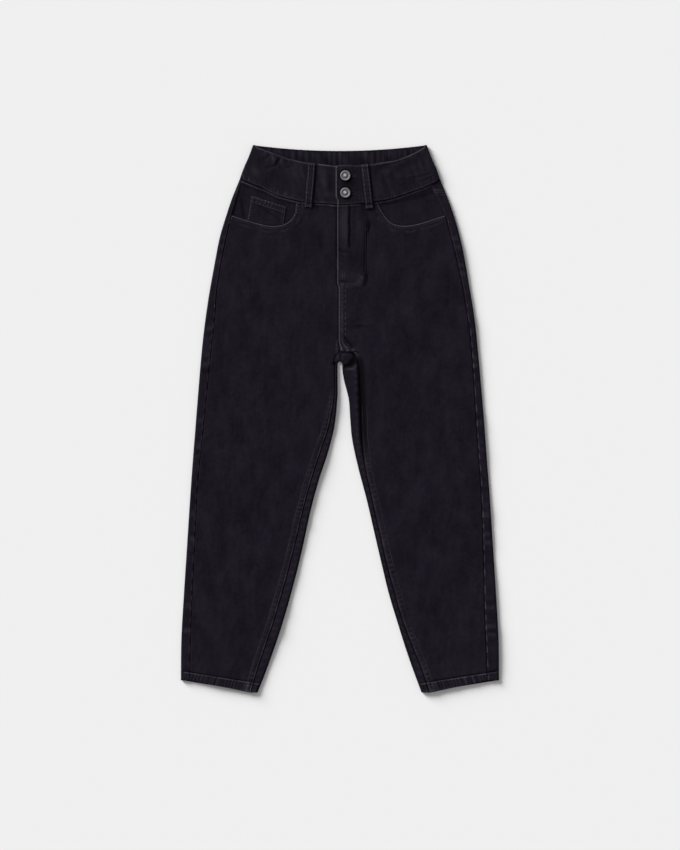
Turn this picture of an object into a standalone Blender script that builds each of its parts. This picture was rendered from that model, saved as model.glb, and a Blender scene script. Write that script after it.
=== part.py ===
"""Mom jeans in black denim, laid flat on their back.

The jeans are built as they are sewn. Each back panel lies on the surface, rolls round both edges of
its leg and shows as a strip beside the side seam and the inseam. The front panels close the top.
X runs to the wearer's left, Y to the waist and Z up. Sizes are in millimetres until the last step.
"""

import math
from collections import namedtuple

import bmesh
import bpy
from mathutils import Matrix, Vector

MM = 0.001

# Walls and the clearance between pieces
DENIM = 1.2
HEM_DENIM = 2.4
BAND = 2.0
LOOP_DENIM = 1.4
COIN_DENIM = 1.0
GAP = 0.3
HALF_GAP = GAP / 2

# Heights above the surface
PANEL_TOP = 6.2
PANEL_ROLL = PANEL_TOP / 2
BAND_BOTTOM = 1.5
BAND_TOP = 8.5
BAND_ROLL = (BAND_TOP - BAND_BOTTOM) / 2
POCKET_LIFT = DENIM + GAP
UNDERLAP_TOP = BAND_TOP - BAND - GAP
ROLL_STEPS = 4

# Lengths along the jeans, from the middle of their whole length
HALF_LENGTH = 506.5
HEM_SIDE = -484.0
HEM_DROP = 22.5
HEM_STRAIGHT = -330.0
HEM_DEPTH = 17.0
CROTCH_ARC_Y = 103.0
CROTCH_ARC_RADIUS = 4.4
CROTCH_SIDE = 106.0
YOKE_CENTRE = 350.0
YOKE_SIDE = 416.0
SCOOP_SIDE = 376.0
BAND_SEAM_SIDE = 444.0
BACK_SEAM_CENTRE = 428.0
BACK_TOP_CENTRE = 495.8

# The lapped centre front
LAP_EDGE = -4.6
LAP_FOOT = 243.0
LAP_EASE = 8.0
BAND_LAP_END = -6.3
UNDERLAP_END = 34.0
UNDERLAP_RAMP = 20.0
UNDERLAP_RISE = 1.0
SHIELD_RIGHT = -12.0
SHIELD_LEFT = 30.0
SHIELD_FOOT = 232.0

# Buttons
BUTTON_X = 9.7
BUTTON_HEIGHTS = (451.2, 419.6)
BUTTON_RADIUS = 9.4
SHANK_RADIUS = 3.4
BUTTONHOLE_RADIUS = 4.0
BUTTON_SIDES = 24

# Belt loops
LOOP_WIDTH = 15.0
LOOP_FOOT = 12.0
FRONT_LOOPS = (("belt_loop_front_right", -55.5), ("belt_loop_front_left", 49.5))
BACK_LOOPS = (
    ("belt_loop_back_right", -105.0), ("belt_loop_back_centre", 0.0), ("belt_loop_back_left", 105.0),
)

Side = namedtuple("Side", "y edge seam")
Inner = namedtuple("Inner", "y seam edge")
Fan = namedtuple("Fan", "turn strip")
Line = namedtuple("Line", "d y")
Edge = namedtuple("Edge", "y half_width")
Fold = namedtuple("Fold", "x0 y0 x1 y1 width depth")
Leg = namedtuple("Leg", "name sign side inner fan scoop")

# Outer edge and side seam of each leg: distance from the middle at each height
RIGHT_SIDE = (
    Side(-484.0, 294.4, 277.3), Side(-408.0, 293.5, 276.0), Side(-328.0, 289.0, 273.0),
    Side(-248.0, 283.8, 269.0), Side(-167.0, 278.6, 265.3), Side(-99.0, 273.9, 261.0),
    Side(-47.0, 269.9, 255.0), Side(54.6, 261.8, 245.0), Side(134.0, 254.9, 237.0),
    Side(186.7, 248.6, 231.0), Side(230.0, 242.2, 228.0), Side(287.7, 231.8, 219.5),
    Side(335.8, 222.4, 209.8), Side(376.0, 210.4, 200.0), Side(406.0, 200.4, 191.5),
    Side(444.0, 185.2, 179.6),
)
LEFT_SIDE = (
    Side(-484.0, 294.4, 273.0), Side(-413.5, 293.8, 270.3), Side(-360.0, 291.2, 268.0),
    Side(-280.0, 286.2, 266.4), Side(-208.0, 281.5, 264.4), Side(-127.0, 276.2, 261.0),
    Side(-78.6, 272.3, 257.5), Side(-19.4, 267.9, 253.0), Side(36.0, 263.5, 250.0),
    Side(118.4, 256.2, 244.4), Side(162.0, 252.0, 240.3), Side(199.0, 247.3, 234.6),
    Side(239.6, 240.5, 228.0), Side(278.4, 234.0, 219.8), Side(319.0, 226.3, 210.2),
    Side(358.0, 216.5, 199.8), Side(378.0, 210.2, 193.8), Side(402.4, 201.8, 182.0),
    Side(431.0, 190.3, 168.8), Side(444.0, 185.2, 163.2),
)

# Inseam and inner edge of each leg: distance from the middle at each height
RIGHT_INNER = (
    Inner(-506.5, 164.5, 152.4), Inner(-472.7, 155.0, 138.9), Inner(-426.4, 139.7, 122.1),
    Inner(-380.0, 123.8, 106.7), Inner(-334.0, 110.0, 93.2), Inner(-260.0, 89.7, 74.0),
    Inner(-167.4, 67.5, 53.6), Inner(-112.0, 52.4, 38.5), Inner(-56.4, 34.2, 20.4),
    Inner(-10.0, 19.0, 9.6), Inner(45.0, 9.8, 4.4), Inner(75.0, 9.6, 4.4), Inner(103.0, 10.0, 4.4),
)
LEFT_INNER = (
    Inner(-506.5, 166.7, 151.0), Inner(-459.7, 150.0, 133.6), Inner(-421.0, 134.3, 120.4),
    Inner(-372.8, 115.8, 105.3), Inner(-324.7, 101.9, 90.8), Inner(-272.0, 87.5, 77.9),
    Inner(-212.0, 73.8, 64.0), Inner(-150.8, 59.8, 49.8), Inner(-88.0, 46.5, 33.3),
    Inner(-38.0, 40.5, 22.6), Inner(0.0, 39.0, 19.0), Inner(36.0, 38.1, 16.3),
    Inner(73.0, 36.8, 7.2), Inner(92.0, 35.5, 4.4), Inner(103.0, 33.4, 4.4),
)

# The back panel turning round the crotch: its strip's width at each turn of the edge
RIGHT_FAN = (Fan(22.5, 8.0), Fan(45.0, 11.0), Fan(67.5, 14.0), Fan(90.0, 19.3))
LEFT_FAN = (Fan(22.5, 30.0), Fan(45.0, 27.5), Fan(67.5, 20.9), Fan(90.0, 19.3))

# Scooped edge of each front pocket, from the side seam to the waistband seam
RIGHT_SCOOP = (
    Line(200.0, 376.0), Line(178.0, 369.0), Line(155.0, 362.2), Line(140.0, 358.4), Line(125.0, 356.5),
    Line(109.5, 358.0), Line(97.0, 362.8), Line(88.0, 371.2), Line(82.5, 381.9), Line(80.1, 397.3),
)
LEFT_SCOOP = (
    Line(194.4, 376.0), Line(178.3, 371.0), Line(159.3, 364.6), Line(139.9, 359.4), Line(124.1, 357.0),
    Line(108.2, 357.8), Line(95.5, 362.6), Line(85.8, 371.6), Line(77.9, 383.1), Line(71.0, 396.5),
)

LEGS = (
    Leg("right", -1, RIGHT_SIDE, RIGHT_INNER, RIGHT_FAN, RIGHT_SCOOP),
    Leg("left", 1, LEFT_SIDE, LEFT_INNER, LEFT_FAN, LEFT_SCOOP),
)

# Waistband edges at the front, by distance from the middle
BAND_SEAM = (
    Line(0.0, 400.0), Line(12.0, 400.2), Line(45.0, 402.2), Line(68.0, 405.4), Line(84.0, 408.6),
    Line(102.0, 413.8), Line(118.0, 419.4), Line(140.0, 427.6), Line(155.0, 433.0), Line(172.0, 439.6),
    Line(186.0, 444.6),
)
BAND_EDGE = (
    Line(0.0, 469.0), Line(16.0, 469.4), Line(40.0, 471.4), Line(62.0, 474.0), Line(80.0, 476.8),
    Line(95.0, 480.6), Line(115.0, 486.6), Line(133.0, 492.8), Line(148.0, 499.0), Line(161.0, 506.5),
)
BAND_SIDE = (Edge(444.0, 185.2), Edge(463.0, 178.4), Edge(485.0, 168.8), Edge(506.5, 160.8))

# Heights of the sections across the legs and the hips, measured at the side
LEG_ROWS = (-430.0, -385.0, -335.0, -285.0, -230.0, -175.0, -120.0, -70.0, -25.0, 15.0, 50.0, 80.0)
FAN_ROWS = (113.0, 120.0, 127.0, 134.0)
HIP_ROWS = (155.0, 180.0, 205.0, 230.0, 255.0, 280.0, 305.0, 330.0, 353.0, 376.0, 396.0, 416.0)
BACK_COLUMNS = (0.0, 0.14, 0.20, 0.42, 0.64, 0.86, 0.92, 1.0)
CENTRE_COLUMNS = (0.78, 0.88, 0.95, 1.0)

# Back pocket, in columns and rows of its back panel
POCKET_FIRST_ROW = 4
POCKET_LAST_ROW = 11
POCKET_COLUMNS = (0.0, 0.25, 0.5, 0.75, 1.0)
POCKET_STEPS = 6
POCKET_POINT = 0.85
POCKET_MARGIN = 0.15
POCKET_TOP_SIDES = (0.215, 0.845)
POCKET_FOOT_SIDES = (0.25, 0.80)

# Front pocket facings and the coin pocket
FACING_INNER = 62.0
FACING_FOOT = 338.0
FACING_UNDER_STRIP = 4.0
FACING_DROP = DENIM + GAP + 0.1
COIN_TOP = (Line(163.7, 412.7), Line(99.3, 393.5))
COIN_FOOT = (171.0, 104.0)
COIN_CLEARANCE = 1.2
COIN_HEIGHT = PANEL_TOP - FACING_DROP + GAP + COIN_DENIM

# The largest soft hollows in the upper layer
FOLDS = (
    Fold(31.0, 112.0, 41.0, -62.0, 7.5, 3.0),
    Fold(66.0, 96.0, 62.0, -50.0, 13.0, 0.8),
    Fold(150.0, -60.0, 215.0, -95.0, 16.0, 0.9),
    Fold(120.0, -215.0, 205.0, -260.0, 20.0, 1.0),
    Fold(-160.0, -40.0, -225.0, -58.0, 16.0, 0.9),
    Fold(-120.0, -210.0, -210.0, -185.0, 20.0, 0.9),
    Fold(-60.0, 190.0, -125.0, 205.0, 15.0, 0.8),
    Fold(55.0, 185.0, 28.0, 160.0, 9.0, 0.9),
    Fold(-175.0, -335.0, -230.0, -330.0, 18.0, 0.8),
    Fold(180.0, -370.0, 235.0, -345.0, 18.0, 0.8),
)

BLACK_DENIM = (0.0105, 0.0090, 0.0140, 1.0)
DULL_NICKEL = (0.16, 0.15, 0.155, 1.0)


def remove_scene_objects():
    for item in list(bpy.data.objects):
        bpy.data.objects.remove(item, do_unlink=True)


def make_material(name, colour, roughness, metallic):
    material = bpy.data.materials.new(name)
    material.use_nodes = True
    shader = material.node_tree.nodes["Principled BSDF"]
    shader.inputs["Base Color"].default_value = colour
    shader.inputs["Roughness"].default_value = roughness
    shader.inputs["Metallic"].default_value = metallic
    return material


def read_curve(table, place, column):
    """Value of one column at a place, on a smooth curve through the table's rows."""
    last = len(table) - 1
    first = 0
    ascending = table[last][0] > table[0][0]
    if not ascending:
        table = table[::-1]
    place = min(max(place, table[0][0]), table[last][0])
    while first < last - 1 and place > table[first + 1][0]:
        first += 1
    after = first + 1

    def slope(k):
        low = max(k - 1, 0)
        high = min(k + 1, last)
        return (table[high][column] - table[low][column]) / (table[high][0] - table[low][0])

    span = table[after][0] - table[first][0]
    t = (place - table[first][0]) / span
    start = table[first][column] * (1 + 2 * t) * (1 - t) ** 2 + slope(first) * span * t * (1 - t) ** 2
    end = table[after][column] * (3 - 2 * t) * t ** 2 - slope(after) * span * (1 - t) * t ** 2
    return start + end


def mix(start, end, share):
    return start + (end - start) * share


def ease(share):
    share = min(max(share, 0.0), 1.0)
    return share * share * (3 - 2 * share)


def panel_height(x, y):
    """Outer height of the upper layer, with its soft hollows."""
    height = PANEL_TOP
    for fold in FOLDS:
        along_x = fold.x1 - fold.x0
        along_y = fold.y1 - fold.y0
        length = math.hypot(along_x, along_y)
        share = ((x - fold.x0) * along_x + (y - fold.y0) * along_y) / length ** 2
        across = ((x - fold.x0) * along_y - (y - fold.y0) * along_x) / length
        reach = ease((share + 0.25) / 0.5) * ease((1.25 - share) / 0.5)
        height -= fold.depth * reach * math.exp(-((across / fold.width) ** 2))
    return height


def centre_front(y):
    """Position of the centre front, which steps over to the lap's edge beside the fly."""
    return LAP_EDGE * ease((y - LAP_FOOT) / LAP_EASE)


def front_band_seam(d):
    return read_curve(BAND_SEAM, abs(d), 1)


def back_band_seam(d):
    return mix(BACK_SEAM_CENTRE, BAND_SEAM_SIDE, (d / BAND_SIDE[0].half_width) ** 2)


def inner_height(side_y):
    """Height at the inner edge of a section whose height is known at the side: the hem slopes."""
    share = (HEM_STRAIGHT - side_y) / (HEM_STRAIGHT - HEM_SIDE)
    return side_y - HEM_DROP * max(share, 0.0)


Section = namedtuple("Section", "side_y edge_point direction strip wall")


def leg_sections(leg):
    """Sections of one leg from hem to crotch: the inner edge, its direction and the strip's width."""
    heights = [(HEM_SIDE, HEM_DENIM), (HEM_SIDE + HEM_DEPTH, HEM_DENIM)]
    heights.append((HEM_SIDE + HEM_DEPTH + DENIM, DENIM))
    heights += [(y, DENIM) for y in LEG_ROWS]
    sections = []
    for side_y, wall in heights:
        y = inner_height(side_y)
        edge = read_curve(leg.inner, y, 2)
        seam = read_curve(leg.inner, y, 1)
        sections.append(Section(side_y, Vector((edge, y)), Vector((1.0, 0.0)), seam - edge, wall))
    last = leg.inner[-1]
    sections.append(Section(CROTCH_SIDE, Vector((last.edge, last.y)), Vector((1.0, 0.0)),
                            last.seam - last.edge, DENIM))
    for row, side_y in zip(leg.fan, FAN_ROWS):
        turn = math.radians(row.turn)
        direction = Vector((math.cos(turn), math.sin(turn)))
        point = Vector((0.0, CROTCH_ARC_Y)) + direction * CROTCH_ARC_RADIUS
        if row.turn == 90.0:
            point.x = HALF_GAP
            direction.x = 0.0
        sections.append(Section(side_y, point, direction, row.strip, DENIM))
    return sections


def outer_roll(edge, y, bottom, roll):
    """Points round the outer edge, from the surface up to the upper layer."""
    points = []
    for step in range(ROLL_STEPS + 1):
        angle = math.pi * (step / ROLL_STEPS - 0.5)
        points.append((edge - roll + roll * math.cos(angle), y, bottom + roll + roll * math.sin(angle)))
    return points


def side_strip(leg, y):
    """Points from the top of the outer roll to the side seam."""
    edge = read_curve(leg.side, y, 1) - PANEL_ROLL
    seam = read_curve(leg.side, y, 2) + HALF_GAP
    points = []
    for share in (0.5, 1.0):
        d = mix(edge, seam, share)
        points.append((d, y, panel_height(leg.sign * d, y)))
    return points


def back_row(leg, start, side_y, lifts):
    """Lower layer of one section, then its outer roll and the strip beside the side seam."""
    edge = read_curve(leg.side, side_y, 1)
    end = Vector((edge - PANEL_ROLL, side_y))
    points = []
    for share, lift in zip(BACK_COLUMNS[:-1], lifts):
        spot = start.lerp(end, share)
        points.append((spot.x, spot.y, lift))
    points += outer_roll(edge, side_y, 0.0, PANEL_ROLL)
    points += side_strip(leg, side_y)
    return points


def inner_row(leg, section):
    """Strip beside the inseam, then the roll round the inner edge, down to the lower layer."""
    points = []
    seam_point = section.edge_point + section.direction * (section.strip - HALF_GAP)
    top_point = section.edge_point + section.direction * PANEL_ROLL
    for share in (0.0, 0.4):
        spot = seam_point.lerp(top_point, share)
        points.append((spot.x, spot.y, panel_height(leg.sign * spot.x, spot.y)))
    for step in range(ROLL_STEPS):
        angle = math.pi * (0.5 - step / ROLL_STEPS)
        spot = section.edge_point + section.direction * PANEL_ROLL * (1 - math.cos(angle))
        points.append((spot.x, spot.y, PANEL_ROLL * (1 + math.sin(angle))))
    return points


def hip_centre(row):
    """Height of a hip section at the centre back seam."""
    crotch = CROTCH_ARC_Y + CROTCH_ARC_RADIUS + PANEL_ROLL
    share = (HIP_ROWS[row] - FAN_ROWS[-1]) / (HIP_ROWS[-1] - FAN_ROWS[-1])
    return mix(crotch, YOKE_CENTRE, share)


def grid_cloth(name, rows, walls, faces_up, material, sign=1, level_columns=()):
    """Closed wall on a grid of outer points. A missing point is None, and walls grow inwards.

    faces_up tells which way the outer side of the first face looks. The first and last rows grow in
    their own plane across the garment, and level columns grow along X, so that the cut ends stay
    clear of the next piece.
    """
    columns = max(len(row) for row in rows)
    bm = bmesh.new()
    bmesh.ops.create_grid(bm, x_segments=columns - 1, y_segments=len(rows) - 1, size=0.5)
    inward = bm.verts.layers.float_vector.new("inward")
    missing = []
    wall_of = {}
    end_verts = []
    level_verts = []
    for vert in bm.verts:
        column = round((vert.co.x + 0.5) * (columns - 1))
        row = round((vert.co.y + 0.5) * (len(rows) - 1))
        point = rows[row][column]
        if point is None:
            missing.append(vert)
            continue
        vert.co = (sign * point[0], point[1], point[2])
        wall_of[vert] = walls[row]
        if row in (0, len(rows) - 1):
            end_verts.append(vert)
        if column in level_columns:
            level_verts.append(vert)
    bmesh.ops.delete(bm, geom=missing, context="VERTS")
    bm.normal_update()
    first = min(bm.faces, key=lambda face: face.index)
    if (first.normal.z > 0) != faces_up:
        bmesh.ops.reverse_faces(bm, faces=bm.faces[:])
        bm.normal_update()
    for vert in bm.verts:
        vert[inward] = vert.normal * -wall_of[vert]
    for vert in end_verts:
        across = Vector((vert.normal.x, 0.0, vert.normal.z)).normalized()
        vert[inward] = across * -wall_of[vert]
    for vert in level_verts:
        vert[inward] = Vector((math.copysign(wall_of[vert], -vert.normal.x), 0.0, 0.0))
    made = bmesh.ops.extrude_face_region(bm, geom=bm.faces[:], use_keep_orig=True)
    for item in made["geom"]:
        if isinstance(item, bmesh.types.BMVert):
            item.co = item.co + item[inward]
    bmesh.ops.recalc_face_normals(bm, faces=bm.faces[:])
    bm.verts.layers.float_vector.remove(inward)
    return add_object(name, bm, material)


def add_object(name, bm, material):
    bmesh.ops.transform(bm, matrix=Matrix.Scale(MM, 4), verts=bm.verts[:])
    mesh = bpy.data.meshes.new(name)
    bm.to_mesh(mesh)
    bm.free()
    mesh.shade_smooth()
    mesh.set_sharp_from_angle(angle=math.radians(50))
    mesh.materials.append(material)
    item = bpy.data.objects.new(name, mesh)
    bpy.context.scene.collection.objects.link(item)
    return item


def turned_solid(name, profile, sides, place, material):
    """Round solid from a profile of radius and height that starts and ends on the axis."""
    bm = bmesh.new()
    points = [bm.verts.new((radius, 0.0, height)) for radius, height in profile]
    edges = [bm.edges.new(pair) for pair in zip(points, points[1:])]
    bmesh.ops.spin(bm, geom=points + edges, cent=(0, 0, 0), axis=(0, 0, 1), angle=math.tau,
                   steps=sides, use_merge=True)
    bmesh.ops.remove_doubles(bm, verts=bm.verts[:], dist=0.001)
    bmesh.ops.recalc_face_normals(bm, faces=bm.faces[:])
    bmesh.ops.translate(bm, verts=bm.verts[:], vec=place)
    return add_object(name, bm, material)


def build_back_panel(leg, material):
    rows = []
    walls = []
    flat = [0.0] * len(BACK_COLUMNS)
    for section in leg_sections(leg):
        start = section.edge_point + section.direction * PANEL_ROLL
        rows.append(inner_row(leg, section) + back_row(leg, start, section.side_y, flat))
        walls.append(section.wall)
    skipped = [None] * (len(rows[0]) - len(back_row(leg, Vector((0, 0)), CROTCH_SIDE, flat)))
    for row, side_y in enumerate(HIP_ROWS):
        on_pocket = POCKET_FIRST_ROW <= row + 1 <= POCKET_LAST_ROW
        lifts = flat
        if on_pocket:
            lifts = [0.0, 0.0] + [POCKET_LIFT] * 4 + [0.0, 0.0]
        start = Vector((HALF_GAP, hip_centre(row) - (HALF_GAP if row == len(HIP_ROWS) - 1 else 0.0)))
        top_y = side_y - (HALF_GAP if row == len(HIP_ROWS) - 1 else 0.0)
        rows.append(skipped + back_row(leg, start, top_y, lifts))
        walls.append(DENIM)
    return grid_cloth("back_panel_" + leg.name, rows, walls, True, material, leg.sign)


def back_spot(leg, column, row):
    """Point on a back panel from its share across and its row number, counted from the crotch."""
    low = int(math.floor(row))
    spots = []
    for number in (low, min(low + 1, len(HIP_ROWS))):
        index = number - 1
        side_y = HIP_ROWS[index]
        edge = read_curve(leg.side, side_y, 1) - PANEL_ROLL
        spots.append(Vector((HALF_GAP, hip_centre(index))).lerp(Vector((edge, side_y)), column))
    return spots[0].lerp(spots[1], row - low)


def build_back_pocket(leg, material):
    """Plain patch pocket with a pointed foot, between the surface and the back panel."""
    rows = []
    for step in range(POCKET_STEPS + 1):
        up = step / POCKET_STEPS
        points = []
        for across in POCKET_COLUMNS:
            inner = mix(POCKET_FOOT_SIDES[0], POCKET_TOP_SIDES[0], up)
            outer = mix(POCKET_FOOT_SIDES[1], POCKET_TOP_SIDES[1], up)
            foot = POCKET_FIRST_ROW + POCKET_MARGIN + POCKET_POINT * abs(2 * across - 1)
            row = mix(foot, POCKET_LAST_ROW - POCKET_MARGIN, up)
            spot = back_spot(leg, mix(inner, outer, across), row)
            points.append((spot.x, spot.y, 0.0))
        rows.append(points)
    walls = [DENIM] * len(rows)
    return grid_cloth("back_pocket_" + leg.name, rows, walls, False, material, leg.sign)


def build_yoke(leg, material):
    rows = []
    for up in (0.0, 0.5, 1.0):
        side_y = mix(YOKE_SIDE + HALF_GAP, BAND_SEAM_SIDE - HALF_GAP, up)
        edge = read_curve(leg.side, side_y, 1) - PANEL_ROLL
        points = []
        for share in BACK_COLUMNS[:-1]:
            foot = mix(YOKE_CENTRE + HALF_GAP, YOKE_SIDE + HALF_GAP, share)
            d = mix(HALF_GAP, edge, share)
            top = back_band_seam(d) - HALF_GAP
            points.append((d, mix(foot, top, up), 0.0))
        points += outer_roll(edge + PANEL_ROLL, side_y, 0.0, PANEL_ROLL)
        points += side_strip(leg, side_y)
        rows.append(points)
    return grid_cloth("back_yoke_" + leg.name, rows, [DENIM] * len(rows), False, material, leg.sign)


def front_columns(leg):
    """Share from the side seam to the centre front of each column: those of the scoop, then more."""
    seam = leg.scoop[0].d
    centre = leg.sign * LAP_EDGE + HALF_GAP
    shares = [(seam - point.d) / (seam - centre) for point in leg.scoop]
    shares.append(shares[-1] + 0.006)
    return shares + list(CENTRE_COLUMNS)


def front_top(leg, number, share):
    """Upper edge of a front panel: the scoop's edge, then the waistband seam."""
    if number < len(leg.scoop):
        return leg.scoop[number].y
    d = leg.scoop[0].d * (1 - share)
    return front_band_seam(d) - HALF_GAP


def front_row_ends(leg):
    """Each section of a front panel: its side point, its inner point and its wall."""
    ends = []
    for section in leg_sections(leg):
        side = Vector((read_curve(leg.side, section.side_y, 2) - HALF_GAP, section.side_y))
        inner = section.edge_point + section.direction * (section.strip + HALF_GAP)
        ends.append((side, inner, section.wall))
    return ends


def build_front_panel(leg, material):
    shares = front_columns(leg)
    rows = []
    walls = []
    ends = front_row_ends(leg)
    for side, inner, wall in ends:
        points = []
        for share in shares:
            spot = side.lerp(inner, share)
            points.append((spot.x, spot.y, panel_height(leg.sign * spot.x, spot.y)))
        rows.append(points)
        walls.append(wall)
    crotch_side, crotch_inner, _ = ends[-1]
    scoop_rows = [y for y in HIP_ROWS if y <= SCOOP_SIDE]
    for side_y in scoop_rows:
        up = (side_y - crotch_side.y) / (SCOOP_SIDE - crotch_side.y)
        side = read_curve(leg.side, side_y, 2) - HALF_GAP
        points = []
        for number, share in enumerate(shares):
            low = mix(crotch_side.y, crotch_inner.y, share)
            y = mix(low, front_top(leg, number, share), up)
            centre = leg.sign * centre_front(y) + HALF_GAP
            d = mix(side, centre, share)
            points.append((d, y, panel_height(leg.sign * d, y)))
        rows.append(points)
        walls.append(DENIM)
    return grid_cloth("front_panel_" + leg.name, rows, walls, True, material, leg.sign)


def facing_top(d):
    return front_band_seam(d) - GAP


def build_facing(leg, material):
    """Pocket facing: it shows in the scoop and runs on under the front panel and the strip."""
    rows = []
    for up in (0.0, 0.2, 0.42, 0.6, 0.8, 1.0):
        side_y = mix(FACING_FOOT, BAND_SEAM_SIDE - 6.0, up)
        under = min(FACING_UNDER_STRIP, read_curve(leg.side, side_y, 1) - PANEL_TOP
                    - read_curve(leg.side, side_y, 2))
        side = read_curve(leg.side, side_y, 2) + under
        points = []
        for share in (0.0, 0.12, 0.26, 0.4, 0.54, 0.68, 0.84, 1.0):
            d = mix(side, FACING_INNER, share)
            y = mix(FACING_FOOT, facing_top(d), up)
            points.append((d, y, panel_height(leg.sign * d, y) - FACING_DROP))
        rows.append(points)
    walls = [DENIM] * len(rows)
    return grid_cloth("pocket_facing_" + leg.name, rows, walls, True, material, leg.sign)


def build_coin_pocket(leg, material):
    """Coin pocket on the facing, from its slanting mouth down to the scoop's edge."""
    rows = []
    for down in (0.0, 0.35, 0.7, 1.0):
        points = []
        for share in (0.0, 0.2, 0.4, 0.6, 0.8, 1.0):
            top = Vector(COIN_TOP[0]).lerp(Vector(COIN_TOP[1]), share)
            foot_d = mix(COIN_FOOT[0], COIN_FOOT[1], share)
            foot = Vector((foot_d, read_curve(leg.scoop, foot_d, 1) + COIN_CLEARANCE))
            spot = top.lerp(foot, down)
            points.append((spot.x, spot.y, COIN_HEIGHT))
        rows.append(points)
    walls = [COIN_DENIM] * len(rows)
    return grid_cloth("coin_pocket", rows, walls, True, material, leg.sign)


def build_fly_shield(material):
    """Strip under the lapped centre front, with its foot cut to a slant."""
    rows = []
    for up in (0.0, 0.15, 0.4, 0.7, 1.0):
        points = []
        for share in (0.0, 0.5, 1.0):
            x = mix(SHIELD_RIGHT, SHIELD_LEFT, share)
            foot = SHIELD_FOOT + 18.0 * share ** 2
            y = mix(foot, front_band_seam(x) - GAP, up)
            points.append((x, y, panel_height(x, y) - FACING_DROP))
        rows.append(points)
    return grid_cloth("fly_shield", rows, [DENIM] * len(rows), True, material)


def band_edge_at(y):
    return read_curve(BAND_SIDE, y, 1)


def band_row_side(up):
    return mix(BAND_SEAM_SIDE + HALF_GAP, HALF_LENGTH, up)


def build_back_band(material):
    rows = []
    for up in (0.0, 0.35, 0.7, 1.0):
        side_y = band_row_side(up)
        edge = band_edge_at(side_y)
        half = []
        for share in BACK_COLUMNS[:-1]:
            d = share * (edge - BAND_ROLL)
            low = back_band_seam(d) + HALF_GAP
            high = mix(BACK_TOP_CENTRE, HALF_LENGTH, (d / band_edge_at(HALF_LENGTH)) ** 2)
            half.append((d, mix(low, high, up), BAND_BOTTOM))
        roll = outer_roll(edge, side_y, BAND_BOTTOM, BAND_ROLL)
        half += roll[:ROLL_STEPS // 2]
        d, y, z = roll[ROLL_STEPS // 2]
        half.append((d, y, z - HALF_GAP))
        mirrored = [(-d, y, z) for d, y, z in half[:0:-1]]
        rows.append(mirrored + half)
    sides = (0, len(rows[0]) - 1)
    return grid_cloth("waistband_back", rows, [BAND] * len(rows), False, material, level_columns=sides)


def underlap_height(x):
    """The right band dips to pass under the left band's lap."""
    share = (x - (BAND_LAP_END - UNDERLAP_RAMP)) / (UNDERLAP_RAMP - 2.0)
    return mix(BAND_TOP, UNDERLAP_TOP, ease(share))


def build_front_band(leg, material):
    """Front waistband from the side to the centre, where the left one laps over the right one."""
    is_right = leg.sign < 0
    rows = []
    ramp = (26.3, 21.0, 16.0, 11.0, 8.3)
    for up in (0.0, 0.35, 0.7, 1.0):
        side_y = band_row_side(up)
        edge = band_edge_at(side_y)
        roll = outer_roll(edge, side_y, BAND_BOTTOM, BAND_ROLL)
        d, y, z = roll[ROLL_STEPS // 2]
        points = [(d, y, z + HALF_GAP)] + roll[ROLL_STEPS // 2 + 1:]
        places = [share * (edge - BAND_ROLL) for share in (0.88, 0.76, 0.64, 0.52, 0.4, 0.3, 0.22)]
        if is_right:
            places += ramp + (-10.0, -UNDERLAP_END)
        else:
            places += (20.0, 8.0, BAND_LAP_END)
        for d in places:
            height = underlap_height(-d) if is_right else BAND_TOP
            dip = (BAND_TOP - height) / (BAND_TOP - UNDERLAP_TOP)
            low = front_band_seam(d) + HALF_GAP + UNDERLAP_RISE * dip
            high = read_curve(BAND_EDGE, abs(d), 1)
            points.append((d, mix(low, high, up), height))
        rows.append(points)
    name = "waistband_front_" + leg.name
    return grid_cloth(name, rows, [BAND] * len(rows), True, material, leg.sign, level_columns=(0,))


def cut_buttonhole(band, name, y, material):
    """Round end of a buttonhole, through which the shank passes."""
    bm = bmesh.new()
    bmesh.ops.create_cone(bm, cap_ends=True, segments=12, radius1=BUTTONHOLE_RADIUS,
                          radius2=BUTTONHOLE_RADIUS, depth=3 * BAND)
    bmesh.ops.translate(bm, verts=bm.verts[:], vec=(BUTTON_X, y, BAND_TOP - BAND / 2))
    cutter = add_object(name, bm, material)
    cutter.hide_render = True
    cutter.display_type = "WIRE"
    modifier = band.modifiers.new(name, "BOOLEAN")
    modifier.operation = "DIFFERENCE"
    modifier.solver = "EXACT"
    modifier.object = cutter


def build_button(name, y, material):
    """Shank button: a domed cap with a raised rim on a shank that stands on the underlap."""
    low = UNDERLAP_TOP + GAP
    cap = BAND_TOP + GAP
    rim = BUTTON_RADIUS
    profile = (
        (0.0, low), (SHANK_RADIUS, low), (SHANK_RADIUS, cap), (rim - 0.8, cap), (rim, cap + 0.9),
        (rim - 0.2, cap + 2.0), (rim - 1.2, cap + 2.5), (rim - 2.4, cap + 2.2), (rim - 3.0, cap + 1.6),
        (3.2, cap + 1.7), (2.4, cap + 2.5), (0.0, cap + 2.9),
    )
    turned_solid(name, profile, BUTTON_SIDES, (BUTTON_X, y, 0.0), material)


def build_front_loop(name, x, material):
    """Belt loop sewn over the front waistband, its foot on the panel below the seam."""
    seam = front_band_seam(x)
    top = read_curve(BAND_EDGE, abs(x), 1)
    on_panel = PANEL_TOP + GAP + LOOP_DENIM
    on_band = BAND_TOP + GAP + LOOP_DENIM
    heights = (
        (seam - LOOP_FOOT, on_panel), (seam - 6.5, on_panel), (seam - 1.5, on_band),
        (mix(seam, top, 0.35), on_band + 0.5), (mix(seam, top, 0.65), on_band + 0.5), (top - 0.6, on_band),
    )
    rows = []
    for y, z in heights:
        rows.append([(x + across * LOOP_WIDTH, y, z) for across in (-0.5, 0.5)])
    grid_cloth(name, rows, [LOOP_DENIM] * len(rows), True, material)


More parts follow.
